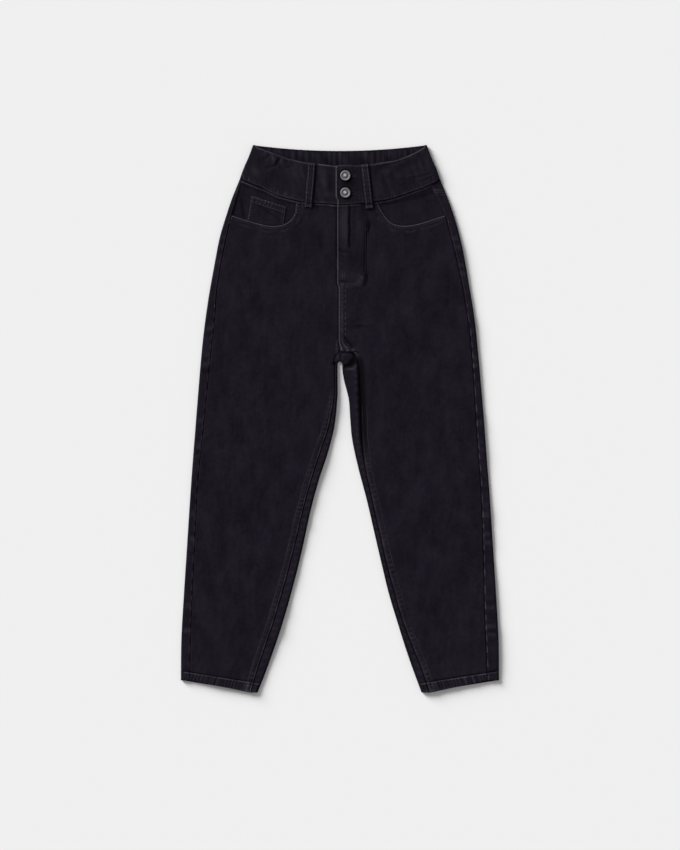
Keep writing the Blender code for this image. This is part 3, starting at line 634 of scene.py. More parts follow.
# Wear and painted highlights turn the cloth grey, and painted shade turns it near black
denim_colour = denim.blend(wear_and_highlight * (0.45 + flecks * 0.75), denim_colour, WEAR_AND_HIGHLIGHT)
denim_colour = denim.blend(painted_shade, denim_colour, PAINTED_SHADE)
weave = twill * 0.35 + grain * 0.9 + streaks * 0.5
denim_bump = denim.node("ShaderNodeBump", None, {"Strength": 0.35, "Distance": 0.00025, "Height": weave})
denim.finish(Base_Color=denim_colour, Roughness=0.88, Specular_IOR_Level=0.05, Sheen_Weight=0.006,
             Sheen_Roughness=0.5, Sheen_Tint=(0.75, 0.72, 1.0, 1.0), Normal=denim_bump)

# The topstitching thread is black cotton-wrapped polyester with a slight shine
thread = Finish("seam thread")
thread_twist = thread.noise(object_place(thread), 1800.0, 2.0)
thread_colour = thread.blend(thread_twist, (0.012, 0.011, 0.015, 1.0), (0.036, 0.034, 0.043, 1.0))
thread.finish(Base_Color=thread_colour, Roughness=0.6, Specular_IOR_Level=0.25)

CENTRE_FOOT = CROTCH_ARC_Y + CROTCH_ARC_RADIUS + PANEL_ROLL


def underlayer(leg, x, y, share, v):
    """Height of the lower layer's underside, which the back pocket lifts a little."""
    row = (v - FAN_TOP) / (YOKE_SIDE - FAN_TOP) * 12.0
    lifted = ease((share - 0.14) / 0.06) * ease((0.92 - share) / 0.06)
    lifted = lifted * ease((row - 2.0) / 1.0) * ease((12.0 - row) / 1.0)
    return THREAD_LIFT + (POCKET_LIFT - THREAD_LIFT) * lifted


# Where the cloth under the crotch folds into itself, beside the legs' inner edges
HOLLOWS = (
    Fold(26.5, 118.0, 26.5, 103.0, 3.8, 1.0),
    Fold(22.0, 107.0, 19.0, 101.0, 3.0, 0.8),
    Fold(22.0, 98.5, 7.0, 97.0, 3.4, 1.0),
    Fold(-12.5, 102.0, -5.0, 102.0, 3.0, 1.0),
    Fold(1.0, 122.0, 1.0, 108.0, 0.8, 0.6),
    Fold(5.0, 121.5, 26.0, 121.5, 1.3, 0.6),
)
CURLED_EDGE = ((24.0, 124.5), (30.0, 120.0), (33.2, 111.0), (32.5, 101.0), (27.5, 94.0), (14.0, 91.0))


def crotch_hollows(x, y):
    """Depth of the hollows under the crotch, which also sets their painted shade, and height of the curled
    edge round them, from 0 to 1.
    """
    hollow = 0.0
    for fold in HOLLOWS:
        away, _ = nearest(np.array([[fold.x0, fold.y0], [fold.x1, fold.y1]]), x, y)
        hollow = hollow + fold.depth * hump(away, fold.width)
    away, along = nearest(smooth_line(CURLED_EDGE, 1.5), x, y)
    edge = hump(away, 1.6) * (0.55 + 0.30 * ropes(along, 6.0, 1.0))
    return np.clip(hollow, 0, 1), edge


def back_grid(leg):
    """Points of a back panel: strip beside the inseam, inner roll, lower layer, outer roll, side strip."""
    v = np.concatenate((
        LEG_ROWS, np.arange(61.0, CROTCH_SIDE, 1.2), np.linspace(CROTCH_SIDE, FAN_TOP, 33)[:-1],
        np.arange(FAN_TOP, YOKE_SIDE - 1.5, 2.6), [YOKE_SIDE - HALF_GAP],
    ))
    edge_x, edge_y, dir_x, dir_y, strip = (values[:, None] for values in leg_track(leg, v))
    rows = v[:, None]
    on_hip = rows > FAN_TOP

    # Strip beside the inseam
    strip_shares = np.array([
        0, 0.04, 0.09, 0.15, 0.22, 0.3, 0.38, 0.47, 0.56, 0.65, 0.74, 0.83, 0.92,
    ])[None, :]
    reach = mix(strip - HALF_GAP, PANEL_ROLL, strip_shares)
    strip_x = edge_x + dir_x * reach
    strip_y = edge_y + dir_y * reach
    from_seam = strip - HALF_GAP - reach
    along = rows + 0 * reach
    puckers = 0.25 * hump(from_seam - 1.5, 3.0) * ropes(along, 7.6, 1.0 + leg.sign)
    ditch = 1.0 * hump(from_seam, 0.8)
    sunk = thigh_hollow(leg, strip_y)
    raised = -3.3 * sunk * hump(from_seam, 3.4)
    hollow, hollow_rim = crotch_hollows(leg.sign * strip_x, strip_y)
    strip_z = top_height(leg.sign * strip_x, strip_y) + puckers - ditch + raised
    strip_z = strip_z - 2.2 * hollow + 0.6 * hollow_rim

    # Roll round the inner edge
    roll_angles = np.linspace(math.pi / 2, -math.pi / 2, 9)[None, :-1]
    top_x = edge_x + dir_x * PANEL_ROLL
    top_y = edge_y + dir_y * PANEL_ROLL
    top_z = top_height(leg.sign * top_x, top_y)
    roll_reach = PANEL_ROLL * (1 - np.cos(roll_angles))
    roll_x = edge_x + dir_x * roll_reach
    roll_y = edge_y + dir_y * roll_reach
    roll_z = mix(THREAD_LIFT, top_z, (1 + np.sin(roll_angles)) / 2)

    # Lower layer
    share = np.linspace(0, 1, 34)[None, :-1]
    out_edge = follow(leg.side, 1, rows)
    hip_share = np.clip((rows - FAN_TOP) / (YOKE_SIDE - FAN_TOP), 0, 1)
    start_x = np.where(on_hip, HALF_GAP, top_x)
    start_y = np.where(on_hip, mix(CENTRE_FOOT, YOKE_CENTRE - HALF_GAP, hip_share), top_y)
    low_x = mix(start_x, out_edge - PANEL_ROLL, share)
    low_y = mix(start_y, rows, share)
    low_z = underlayer(leg, low_x, low_y, share, rows)

    # Roll round the outer edge
    out_angles = np.linspace(-math.pi / 2, math.pi / 2, 9)[None, :]
    outer_top = top_height(leg.sign * (out_edge - PANEL_ROLL), rows)
    out_x = out_edge - PANEL_ROLL + PANEL_ROLL * np.cos(out_angles)
    out_y = rows + 0 * out_x
    out_z = mix(THREAD_LIFT, outer_top, (1 + np.sin(out_angles)) / 2)

    # Strip beside the side seam
    seam_shares = np.array([0.12, 0.28, 0.45, 0.6, 0.74, 0.85, 0.93, 1.0])[None, :]
    seam_x = mix(out_edge - PANEL_ROLL, follow(leg.side, 2, rows) + HALF_GAP, seam_shares)
    seam_y = rows + 0 * seam_x
    to_seam = seam_x - follow(leg.side, 2, rows) - HALF_GAP
    seam_z = (top_height(leg.sign * seam_x, seam_y) - 1.0 * hump(to_seam, 0.8)
              + 0.15 * hump(to_seam - 2.5, 3.0) * ropes(seam_y, 11.5, 3.0 * leg.sign))

    x = np.concatenate([strip_x, roll_x, low_x, out_x, seam_x], axis=1)
    y = np.concatenate([strip_y, roll_y, low_y, out_y, seam_y], axis=1)
    z = np.concatenate([strip_z, roll_z, low_z, out_z, seam_z], axis=1)
    kinds = np.concatenate([np.full(part.shape[1], kind) for kind, part in enumerate(
        (strip_x, roll_x, low_x, out_x, seam_x))])
    relief, hem_wear_and_highlight, shade = hem_relief(leg, x, y)
    on_top = (kinds == 0) | (kinds == 4)
    below = kinds == 2
    z = z + relief * on_top + 0.25 * np.clip(relief, -1, 0.2) * below
    wear_and_highlight = hem_wear_and_highlight * (on_top | below)
    painted_shade = shade * on_top

    # Rubbed crests and painted shade in the ditches and hollows along the seams, on each part of the panel
    lengths = dashes(rows, 24.0, 1.0 + leg.sign) * (rows < SIDE_TACK)
    wear_and_highlight[:, kinds == 4] += 0.52 * hump(to_seam - 1.3, 0.8) * lengths
    wear_and_highlight[:, kinds == 4] += 0.12 * dashes(rows, 19.0, 2.0 * leg.sign) * dashes(rows, 83.0, 1.0)
    painted_shade[:, kinds == 4] += 0.65 * hump(to_seam, 0.8)
    painted_shade[:, kinds == 4] += 0.24 * dashes(rows, 21.0, 3.0 + leg.sign) * dashes(rows, 67.0, 2.0)
    wear_and_highlight[:, kinds == 0] += 0.10 * hump(from_seam - 6.0, 4.0) * dashes(along, 13.0, 2.0)
    wear_and_highlight[:, kinds == 0] += 0.55 * hollow_rim
    painted_shade[:, kinds == 0] += 0.75 * hump(from_seam, 0.9) + 0.8 * sunk * hump(from_seam, 3.0) + 0.95 * hollow
    # Painted shade on the roll round the inner edge
    painted_shade[:, kinds == 1] += 0.35
    centre_back = hump(low_x - 1.0, 2.5) * on_hip
    wear_and_highlight[:, below] += 0.35 * centre_back * (0.5 + 0.5 * ropes(low_y, 6.0, 1.0))

    points = np.stack([leg.sign * x, y, z], axis=2)
    no_strip = (rows > FAN_TOP) & ((kinds == 0) | (kinds == 1))[None, :]
    points[no_strip] = np.nan
    hem_rows = v < HEM_SIDE + HEM_DEPTH
    return points, {"wear_and_highlight": wear_and_highlight, "painted_shade": painted_shade}, hem_rows


for leg in LEGS:
    grid, marks, hem_rows = back_grid(leg)
    panel = lay_cloth("denim_back_panel_" + leg.name, grid, DENIM, 1, denim.material, marks, hem_rows)
    surface = surface_of(panel)
    flip = np.array([leg.sign, 1.0])
    hem_below = [hem_line(leg, HEM_DEPTH)[3:-3] * flip]
    centre = [np.array([[leg.sign * 1.6, 116.0], [leg.sign * 1.6, 348.0]])]
    if leg.sign > 0:
        centre.append(np.array([[8.0, 118.0], [8.0, 350.0]]))
    rows = hem_below + centre
    below = sew("stitching_back_panel_" + leg.name, rows, [surface], thread.material, below=True)
    side_rows = []
    side = side_line(leg, SIDE_TACK, 440.0) * flip
    side_rows.append(beside(side, -2.6 * leg.sign))
    tack = side[0] + np.array([2.6 * leg.sign, 0.0])
    for lift in np.arange(0.0, 5.0, 0.9):
        side_rows.append(np.array([tack + (-1.2, lift), tack + (1.6, lift)]))
    hem_top = hem_line(leg, HEM_DEPTH) * flip
    above = sew("stitching_strips_" + leg.name, side_rows + [hem_top], [surface], thread.material)
    size, area = cut_of(grid)
    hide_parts("back_panel_" + leg.name)

# Front panels
# Two pieces of the same denim, joined to the back panels at the inseam and the side seam. Each has a
# scooped pocket mouth, turned under and sewn twice. The wearer's left one laps over the right at the
# fly, where a curved double row holds the fly facing, and both run to the crotch as a felled seam.

LAP_EDGE = -5.3
LAP_FOOT = 243.0
LAP_EASE = 8.0
SEAM_LEAN = -2.6
SCOOP_SIDE = 376.0
BAND_SEAM = (
    Line(-186.0, 443.1), Line(-172.0, 437.8), Line(-155.0, 430.4), Line(-140.0, 425.2), Line(-127.0, 418.5),
    Line(-113.0, 412.4), Line(-100.0, 408.8), Line(-87.0, 405.5), Line(-68.0, 402.0), Line(-45.0, 399.4),
    Line(-23.0, 397.9), Line(-10.0, 396.2), Line(0.0, 396.3), Line(27.0, 397.7), Line(45.0, 399.8),
    Line(68.0, 402.8), Line(84.0, 405.0), Line(102.0, 409.5), Line(118.0, 414.8), Line(140.0, 422.4),
    Line(155.0, 427.8), Line(172.0, 435.4), Line(186.0, 443.1),
)
FLY_CURVE = ((50.6, 354.0), (50.6, 275.0), (43.0, 262.0), (32.6, 250.0), (16.0, 246.0), (0.3, 246.4))
SCOOP_HEM = 8.5
FELL_WIDTH = 11.5

# Small creases across the lapped front below its fly stitching's groove
FLY_CREASES = (
    Fold(-1.5, 314.0, 6.0, 309.0, 1.1, 0.7),
    Fold(6.0, 309.0, 20.0, 307.5, 1.1, 0.6),
    Fold(1.0, 301.5, 7.5, 300.0, 0.9, 0.4),
    Fold(1.0, 293.0, 7.0, 291.5, 0.9, 0.4),
    Fold(1.5, 281.0, 6.5, 280.5, 0.9, 0.4),
    Fold(0.5, 256.0, 14.0, 253.5, 1.2, 0.5),
)


def centre_front(y):
    """Where the front edges meet, in the seam below and under the lap above."""
    seam = SEAM_LEAN * ease((y - 127.0) / 16.0)
    return mix(seam, LAP_EDGE, ease((y - LAP_FOOT) / LAP_EASE))


def band_seam(x):
    """Height of the front waistband's seam."""
    return follow(BAND_SEAM, 1, x)


def scoop_line(leg, step=1.5):
    return smooth_line([(point.d, point.y) for point in leg.scoop], step)


def front_places(leg):
    """Rows of points across a front panel from hem to top edge: distance out, height, side height."""
    scoop = scoop_line(leg, 2.6)
    seam = scoop[0][0]
    centre = leg.sign * LAP_EDGE + HALF_GAP
    shares = [(seam - d) / (seam - centre) for d, _ in scoop]
    end = scoop[-1][0]
    if leg.sign > 0:
        rest = np.concatenate((np.arange(end - 0.9, 45.0, -1.05), np.arange(42.5, 22.5, -2.4)))
        rest = np.concatenate((rest, np.arange(21.0, centre + 0.5, -1.0)))
    else:
        rest = np.concatenate((np.arange(end - 0.9, end - 13.0, -1.0), np.arange(end - 15.0, 14.0, -2.6)))
        rest = np.concatenate((rest, np.arange(13.0, centre + 0.5, -1.1)))
    rest = np.concatenate((rest, [centre]))
    near_side = np.array([0.5, 1.1, 1.8])
    shares = np.sort(np.concatenate((shares, (seam - rest) / (seam - centre), near_side / (seam - centre))))
    scoop_end = (seam - scoop[-1][0]) / (seam - centre)
    top_d = seam - shares * (seam - centre)
    fine = scoop_line(leg, 0.5)
    scoop_y = np.interp(-top_d, -fine[:, 0], fine[:, 1])
    top_y = band_seam(leg.sign * top_d) - HALF_GAP
    top_y = np.where(shares <= scoop_end + 1e-9, np.minimum(scoop_y, top_y), top_y)
    s = shares[None, :]

    leg_v = np.concatenate((
        LEG_ROWS, np.arange(61.0, CROTCH_SIDE, 1.5), np.linspace(CROTCH_SIDE, FAN_TOP, 20),
    ))
    edge_x, edge_y, dir_x, dir_y, strip = (values[:, None] for values in leg_track(leg, leg_v))
    side_d = follow(leg.side, 2, leg_v[:, None]) - HALF_GAP
    inner_x = edge_x + dir_x * (strip + HALF_GAP)
    inner_y = edge_y + dir_y * (strip + HALF_GAP)
    low_x = mix(side_d, inner_x, s)
    low_y = mix(leg_v[:, None], inner_y, s)

    span = SCOOP_SIDE - FAN_TOP
    near_top = np.array([
        19.5, 17.2, 15.3, 13.6, 12.0, 10.6, 9.6, 8.7, 7.8, 6.6, 5.4, 4.3, 3.3, 2.5, 1.8, 1.2, 0.6, 0.0,
    ])
    up = np.concatenate((np.arange(1.8, span - 20.5, 2.0), span - near_top))[:, None] / span
    v = FAN_TOP + up * span
    high_y = mix(mix(FAN_TOP, inner_y[-1, 0], s), top_y[None, :], up)
    high_d = mix(follow(leg.side, 2, v) - HALF_GAP, leg.sign * centre_front(high_y) + HALF_GAP, s)
    d = np.concatenate((low_x, high_d))
    y = np.concatenate((low_y, high_y))
    v = np.concatenate((leg_v, v[:, 0]))
    return d, y, v


def beside_centre(leg, d, y):
    """Shares of the lapped part and of the seam below, distance from the edge, and the same fanned out."""
    above_fly = ease((y - LAP_FOOT + 3.0) / 5.0)
    rise = (1 - above_fly) * ease((y - 118.0) / 10.0)
    to_edge = d - leg.sign * centre_front(y)
    spread = ease((146.0 - y) / 22.0)
    fan = to_edge / (1 + 1.2 * spread)
    return above_fly, rise, to_edge, fan


def left_edge(d, y, z, wear_and_highlight, painted_shade):
    """Wearer's left front beside the centre: the fly, its groove and valley, and the felled seam, with their
    wear, painted highlights and painted shade.
    """
    above_fly, rise, to_edge, fan = beside_centre(LEGS[1], d, y)

    # The lap stands up inside its stitching, and its edge and its fine vertical creases are rubbed; the pale
    # line at the edge is also a painted highlight
    fly_away, fly_along = nearest(smooth_line(FLY_CURVE, 2.0), d, y)
    inside_fly = above_fly * ease((52.0 - d) / 6.0)
    z = z + 0.55 * inside_fly
    z = z + 0.35 * above_fly * hump(to_edge - 1.5, 1.6)
    z = z - (0.4 * hump(fly_away, 1.0) + 0.3 * hump(fly_away - 3.4, 0.9)) * ease((275.0 - y) / 12.0)
    wear_and_highlight = wear_and_highlight + 0.72 * above_fly * hump(to_edge - 0.9, 0.85)
    combed = np.clip(0.5 + 0.5 * ropes(d, 4.2, 1.0), 0, 1)
    wear_and_highlight = wear_and_highlight + 0.20 * above_fly * hump(d - 7.0, 7.0) * hump(y - 362.0, 38.0) * (0.5 + 0.5 * combed)
    wear_and_highlight = wear_and_highlight + 0.16 * above_fly * hump(d - 33.0, 9.0) * hump(y - 356.0, 20.0) * combed
    wear_and_highlight = wear_and_highlight + 0.34 * hump(d - 6.0, 6.5) * hump(y - 265.0, 8.0) * combed

    # A groove down the lap, a valley along the outer row of stitches, a sag between them and small creases
    # below, each with painted shade
    groove = hump(d - 18.6 - 0.5 * np.sin(y / 6.0), 1.9)
    groove = groove * ease((y - 314.0) / 5.0) * ease((398.0 - y) / 8.0)
    z = z - 1.2 * groove + 0.5 * above_fly * hump(d - 13.5, 2.2) * ease((y - 316.0) / 5.0)
    bend = 49.6 + 6.0 * ease((y - 335.0) / 28.0) - 4.0 * ease((258.0 - y) / 14.0)
    valley = hump(d - bend, 3.8) * ease((y - 241.0) / 6.0) * ease((372.0 - y) / 16.0)
    z = z - 1.5 * valley
    painted_shade = painted_shade + 0.85 * groove + 0.78 * valley
    sag = hump(d - 22.0, 14.0) * hump(y - 296.0, 16.0)
    z = z - 0.8 * sag
    painted_shade = painted_shade + 0.42 * sag
    painted_shade = painted_shade + 0.26 * above_fly * hump(d - 26.0, 4.0) * ease((y - 318.0) / 8.0)
    painted_shade = painted_shade + 0.30 * above_fly * hump(d - 42.0, 5.0) * hump(y - 385.0, 16.0)
    for fold in FLY_CREASES:
        away, _ = nearest(np.array([[fold.x0, fold.y0], [fold.x1, fold.y1]]), d, y)
        z = z - fold.depth * hump(away, fold.width)
        painted_shade = painted_shade + 0.7 * hump(away, fold.width)

    # Rubbed crests along the curve of the fly stitching, and painted shade in its row
    crests = np.clip(ropes(fly_along, 8.0, 3.0), 0, 1)
    wear_and_highlight = wear_and_highlight + 0.34 * hump(fly_away - 1.7, 1.6) * (0.25 + 0.75 * crests) * (d < 44.0)
    wear_and_highlight = wear_and_highlight + 0.30 * hump(d - 35.0, 8.0) * hump(y - 259.0, 8.0) * (0.1 + 0.9 * crests)
    painted_shade = painted_shade + 0.5 * hump(fly_away + 0.2, 0.9) * (d < 40.0)

    # The felled seam under the fly, roped like a ladder, which fans out to the crotch, with painted shade in
    # its dents and beside the fan
    z = z + rise * (0.55 * ease(fan / 0.8) * ease((12.5 - fan) / 2.5) - 0.3 * hump(fan - 4.0, 0.8))
    z = z - rise * (0.35 * hump(fan - 9.6, 0.8) + 0.9 * hump(fan, 0.7))
    z = z + 0.3 * rise * ropes(y, 6.0, 2.0) * hump(fan - 7.0, 3.5)
    ladder = dashes(y, 6.2, 1.0)
    rungs = 0.55 * hump(fan - 6.6, 0.9) * (0.25 + 0.75 * ladder)
    wear_and_highlight = wear_and_highlight + rise * (0.52 * hump(fan - 1.7, 0.8) + rungs)
    wear_and_highlight = wear_and_highlight + rise * 0.42 * hump(fan - 12.4, 0.9) * dashes(y, 9.4, 2.0)
    painted_shade = painted_shade + rise * (0.5 * hump(fan - 4.2, 0.7) + 0.4 * hump(fan - 9.4, 0.9))
    beside_fan = hump(d - 12.0 - 0.75 * (146.0 - y), 3.6)
    beside_fan = beside_fan * ease((158.0 - y) / 10.0) * ease((y - 127.0) / 5.0)
    z = z - 1.0 * beside_fan
    painted_shade = painted_shade + 0.9 * beside_fan
    wear_and_highlight = wear_and_highlight + 0.75 * hump(d - 14.0, 11.0) * (hump(y - 128.4, 0.8) + 0.8 * hump(y - 133.0, 0.9))
    return z, wear_and_highlight, painted_shade


def right_edge(d, y, z, wear_and_highlight, painted_shade):
    """Wearer's right front beside the centre, with painted shade under the lapping one's edge, down its seam
    and at the crotch.
    """
    above_fly, rise, to_edge, fan = beside_centre(LEGS[0], d, y)
    z = z - above_fly * 0.9 * hump(to_edge, 2.6)
    painted_shade = painted_shade + 0.75 * above_fly * hump(to_edge, 1.6)
    z = z - rise * 0.7 * hump(to_edge, 0.7)
    painted_shade = painted_shade + 0.5 * rise * hump(to_edge, 0.8)
    painted_shade = painted_shade + 0.9 * hump((d - 12.5) / 4.5, 1.0) * hump((y - 102.5) / 3.0, 1.0)
    worn = 0.34 * ease((150.0 - y) / 10.0) * rise * hump(fan - 3.0, 1.0)
    wear_and_highlight = wear_and_highlight + worn * (0.4 + 0.6 * dashes(y, 7.0, 3.0))
    return z, wear_and_highlight, painted_shade


def front_grid(leg):
    """Points of a front panel with its relief, its wear and painted highlights, and its painted shade."""
    d, y, v = front_places(leg)
    x = leg.sign * d
    z = top_height(x, y)
    relief, hem_wear_and_highlight, shade = hem_relief(leg, x, y)
    z = z + relief
    wear_and_highlight = hem_wear_and_highlight
    painted_shade = shade

    # Inseam: its felled swell shows below the upper thigh, and the left one sinks above that, with painted
    # shade in its ditch and sunk part
    away, along = nearest(inseam_line(leg), d, y)
    sunk = thigh_hollow(leg, y)
    shown = (1 - sunk) * ease((62.0 - y) / 45.0)
    width = FELL_WIDTH * (0.7 + 0.3 * ease((10.0 - y) / 60.0))
    z = z + shown * felled(away, along, width, 1.0 + leg.sign)
    wear_and_highlight = wear_and_highlight + shown * faded(away, along, width, 1.0 + leg.sign)
    z = z - 3.3 * sunk * (1 - ease(away / 18.0)) - 0.5 * (1 - shown) * hump(away, 0.8)
    painted_shade = painted_shade + 0.6 * hump(away, 0.9) + 0.92 * sunk * ease((17.0 - away) / 12.0)
    _, rim = crotch_hollows(x, y)
    wear_and_highlight = wear_and_highlight + 0.5 * rim * (leg.sign > 0)

    # Side seam, with painted shade in its ditch
    away, along = nearest(side_line(leg), d, y)
    z = z - 1.0 * hump(away, 0.8) + 0.15 * hump(away - 2.5, 3.0) * ropes(along, 11.5, 3.0 * leg.sign)
    painted_shade = painted_shade + 0.5 * hump(away, 0.7)

    # Turned and twice sewn mouth of the pocket, with painted shade in its dents and rope troughs
    away, along = nearest(scoop_line(leg), d, y)
    turned = ease((SCOOP_HEM + 1.5 - away) / 2.0)
    rope = ropes(along, 5.4, 4.0 + leg.sign)
    z = z + turned * (0.35 + 0.36 * rope * ease((away - 1.5) / 2.0)) - 0.4 * hump(away - 2.2, 0.7)
    z = z - 0.5 * hump(away - SCOOP_HEM, 0.9) - 0.4 * hump(away, 0.7)
    z = z + 0.5 * hump(away - SCOOP_HEM - 4.0, 3.0) * (0.5 + 0.5 * ropes(along, 11.0, 1.0))
    wear_and_highlight = wear_and_highlight + 0.72 * hump(away - 0.7, 0.65) + 0.52 * hump(away - 4.6, 1.5) * np.clip(rope, 0, 1)
    wear_and_highlight = wear_and_highlight + 0.11 * hump(away - SCOOP_HEM - 3.0, 1.2) * dashes(along, 31.0, 2.0)
    painted_shade = painted_shade + 0.55 * hump(away - SCOOP_HEM - 0.2, 0.9) + 0.45 * hump(away - 2.3, 0.7)
    painted_shade = painted_shade + 0.70 * turned * np.clip(-rope, 0, 1) * hump(away - 4.8, 2.2)

    edge = left_edge if leg.sign > 0 else right_edge
    z, wear_and_highlight, painted_shade = edge(d, y, z, wear_and_highlight, painted_shade)

    # Waistband seam, with painted shadow along it and under the band
    to_band = band_seam(x) - y
    z = z - 0.5 * hump(to_band, 1.5)
    wear_and_highlight = wear_and_highlight + 0.55 * hump(to_band - 2.4, 0.8) * (0.35 + 0.65 * dashes(x, 31.0, 2.0))
    painted_shade = painted_shade + 0.7 * hump(to_band - 0.1, 0.8) + 0.30 * hump(to_band - 5.5, 1.8)
    return np.stack([x, y, z], axis=2), {"wear_and_highlight": wear_and_highlight, "painted_shade": painted_shade}, v < HEM_SIDE + HEM_DEPTH


for leg in LEGS:
    grid, marks, hem_rows = front_grid(leg)
    panel = lay_cloth("denim_front_panel_" + leg.name, grid, DENIM, 1, denim.material, marks, hem_rows)
    surface = surface_of(panel)
    flip = np.array([leg.sign, 1.0])
    scoop = scoop_line(leg) * flip
    rows = [beside(scoop, 1.9 * leg.sign), beside(scoop, SCOOP_HEM * leg.sign)]
    inseam = inseam_line(leg)
    inseam = inseam[inseam[:, 1] < 25.0] * flip
    rows += [beside(inseam, -3.4 * leg.sign), beside(inseam, -FELL_WIDTH * leg.sign)]
    rows.append(hem_line(leg, HEM_DEPTH) * flip)
    mouth = sew("stitching_front_panel_" + leg.name, rows, [surface], thread.material)
    if leg.sign > 0:
        fly = smooth_line(FLY_CURVE, 2.0)
        fly_rows = [fly, beside(fly, -3.4), np.array([[-2.6, 397.0], [-2.6, 250.0]])]
        fly_rows += [np.array([[at, 243.0], [at, 140.0]]) for at in (1.4, 7.0)]
        fly_rows += [np.array([[1.0, 247.0 + lift], [8.0, 247.0 + lift]]) for lift in np.arange(0, 4, 0.9)]
        sew("stitching_fly", fly_rows, [surface], thread.material)
    size, area = cut_of(grid)
    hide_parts("front_panel_" + leg.name)

# Pocket facings
# The denim seen inside each scoop. It runs on under the front panel and the side strip, and is sewn
# into the waistband seam and the side seam.

FACING_INNER = 62.0
FACING_FOOT = 338.0
FACING_DROP = 1.6
FACING_PITCH = 2.2
FACING_SIDE_TOP = 438.0
FACING_ROWS = 106.0


def facing_grid(leg):
    """Points of a facing, which sinks a little under the scoop, with painted shade in its crease, under the
    band seam and beside the scoop's edge.
    """
    up = np.arange(0, FACING_ROWS + 1.0, FACING_PITCH)[:, None] / FACING_ROWS
    side_y = mix(FACING_FOOT, FACING_SIDE_TOP, up)
    seam = follow(leg.side, 2, side_y)
    under = np.minimum(4.0, follow(leg.side, 1, side_y) - PANEL_TOP - seam)
    share = np.linspace(0, 1, 64)[None, :]
    d = mix(seam + under, FACING_INNER, share)
    top = band_seam(leg.sign * d) - 0.3
    y = mix(FACING_FOOT, top, up)
    x = leg.sign * d
    rise = ease((y - top + 26.0) / 24.0)
    z = top_height(x, y) * 0.35 + PANEL_TOP * 0.65 - FACING_DROP + 1.15 * rise
    crease = 0.0
    if leg.sign < 0:
        crease = hump(d - 179.0 - 0.12 * (y - 388.0), 3.0) * ease((y - 366.0) / 8.0) * ease((412.0 - y) / 8.0)
    else:
        crease = 0.45 * hump(y - top + 9.0 + 0.10 * (d - 90.0), 4.0) * ease((d - 72.0) / 10.0)
    z = z - 0.9 * crease
    painted_shade = 0.65 * crease + 0.40 * hump(top - y - 6.0, 3.2) + 0.25 * hump(top - y, 0.8)
    allowance = 0.75 * hump(top - y - 2.6, 0.9)
    away, _ = nearest(scoop_line(leg), d, y)
    painted_shade = painted_shade + 0.35 * hump(away, 2.2)
    points = np.stack([x, y, z + 0 * x], axis=2)
    return points, {"wear_and_highlight": allowance + 0.0 * x, "painted_shade": painted_shade}


for leg in LEGS:
    grid, marks = facing_grid(leg)
    facing = lay_cloth("denim_pocket_facing_" + leg.name, grid, 1.0, 1, denim.material, marks)
    size, area = cut_of(grid)
    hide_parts("pocket_facing_" + leg.name)

# Coin pocket
# A small patch on the wearer's right facing. Its mouth is hemmed with two rows of stitching, and its
# sides are sewn down close to their edges and run on under the scoop.

COIN_TOP = (Line(163.7, 412.7), Line(99.3, 391.9))
COIN_FOOT = (171.0, 104.0)
COIN_TOP_HEIGHT = 5.9
COIN_HEM = 11.0
COIN_WIDTH = 66.0


def coin_grid(leg):
    """Points of the coin pocket from its mouth down to the scoop, with painted shade under its hem, in its
    fold and troughs and at its sides.
    """
    share = np.concatenate(([0, 0.012, 0.03], np.linspace(0.06, 0.94, 34), [0.97, 0.988, 1]))[None, :]
    down = np.concatenate(([0, 0.015, 0.035], np.linspace(0.06, 1.0, 30)))[:, None]
    top_d = mix(COIN_TOP[0].d, COIN_TOP[1].d, share)
    top_y = mix(COIN_TOP[0].y, COIN_TOP[1].y, share)
    foot_d = mix(COIN_FOOT[0], COIN_FOOT[1], share)
    fine = scoop_line(leg, 0.5)
    foot_y = np.interp(-foot_d, -fine[:, 0], fine[:, 1]) + 0.4
    d = mix(top_d, foot_d, down)
    y = mix(top_y, foot_y, down)
    below = top_y - y
    edge = np.minimum(share, 1 - share) * COIN_WIDTH
    rope = ropes(share * COIN_WIDTH + 0.3 * below, 6.3, 2.2)
    z = COIN_TOP_HEIGHT + 0.35 * ease((y - 372.0) / 25.0)
    hem = ease((COIN_HEM + 1.0 - below) / 1.8)
    z = z + hem * (0.35 + 0.22 * rope) - 0.3 * hump(below - 2.0, 0.8) - 0.4 * hump(below - COIN_HEM, 1.0)
    z = z - 0.5 * hump(edge, 0.8) - 0.2 * hump(edge - 2.0, 0.8)
    fold = hump(below - 15.0 - 0.3 * (share * COIN_WIDTH - 20.0), 2.6) * hump(share - 0.5, 0.35)
    z = z - 0.5 * fold
    dots = 0.25 + 0.75 * dashes(share * COIN_WIDTH, 4.8, 1.0)
    wear_and_highlight = 0.55 * hump(below - 0.8, 0.9) * dots + hem * 0.22 * np.clip(rope, 0, 1)
    wear_and_highlight = wear_and_highlight + 0.50 * hump(below - COIN_HEM + 0.4, 0.9) * dots
    wear_and_highlight = wear_and_highlight + 0.50 * hump(edge - 1.0, 0.9) * (0.2 + 0.8 * dashes(below, 5.2, 2.0))
    painted_shade = 0.55 * hump(below - COIN_HEM - 1.6, 1.2) + 0.5 * fold
    painted_shade = painted_shade + 0.35 * hem * np.clip(-rope, 0, 1) + 0.6 * hump(edge, 0.5)
    x = leg.sign * d
    return np.stack([x + 0 * z, y, z], axis=2), {"wear_and_highlight": wear_and_highlight, "painted_shade": painted_shade}


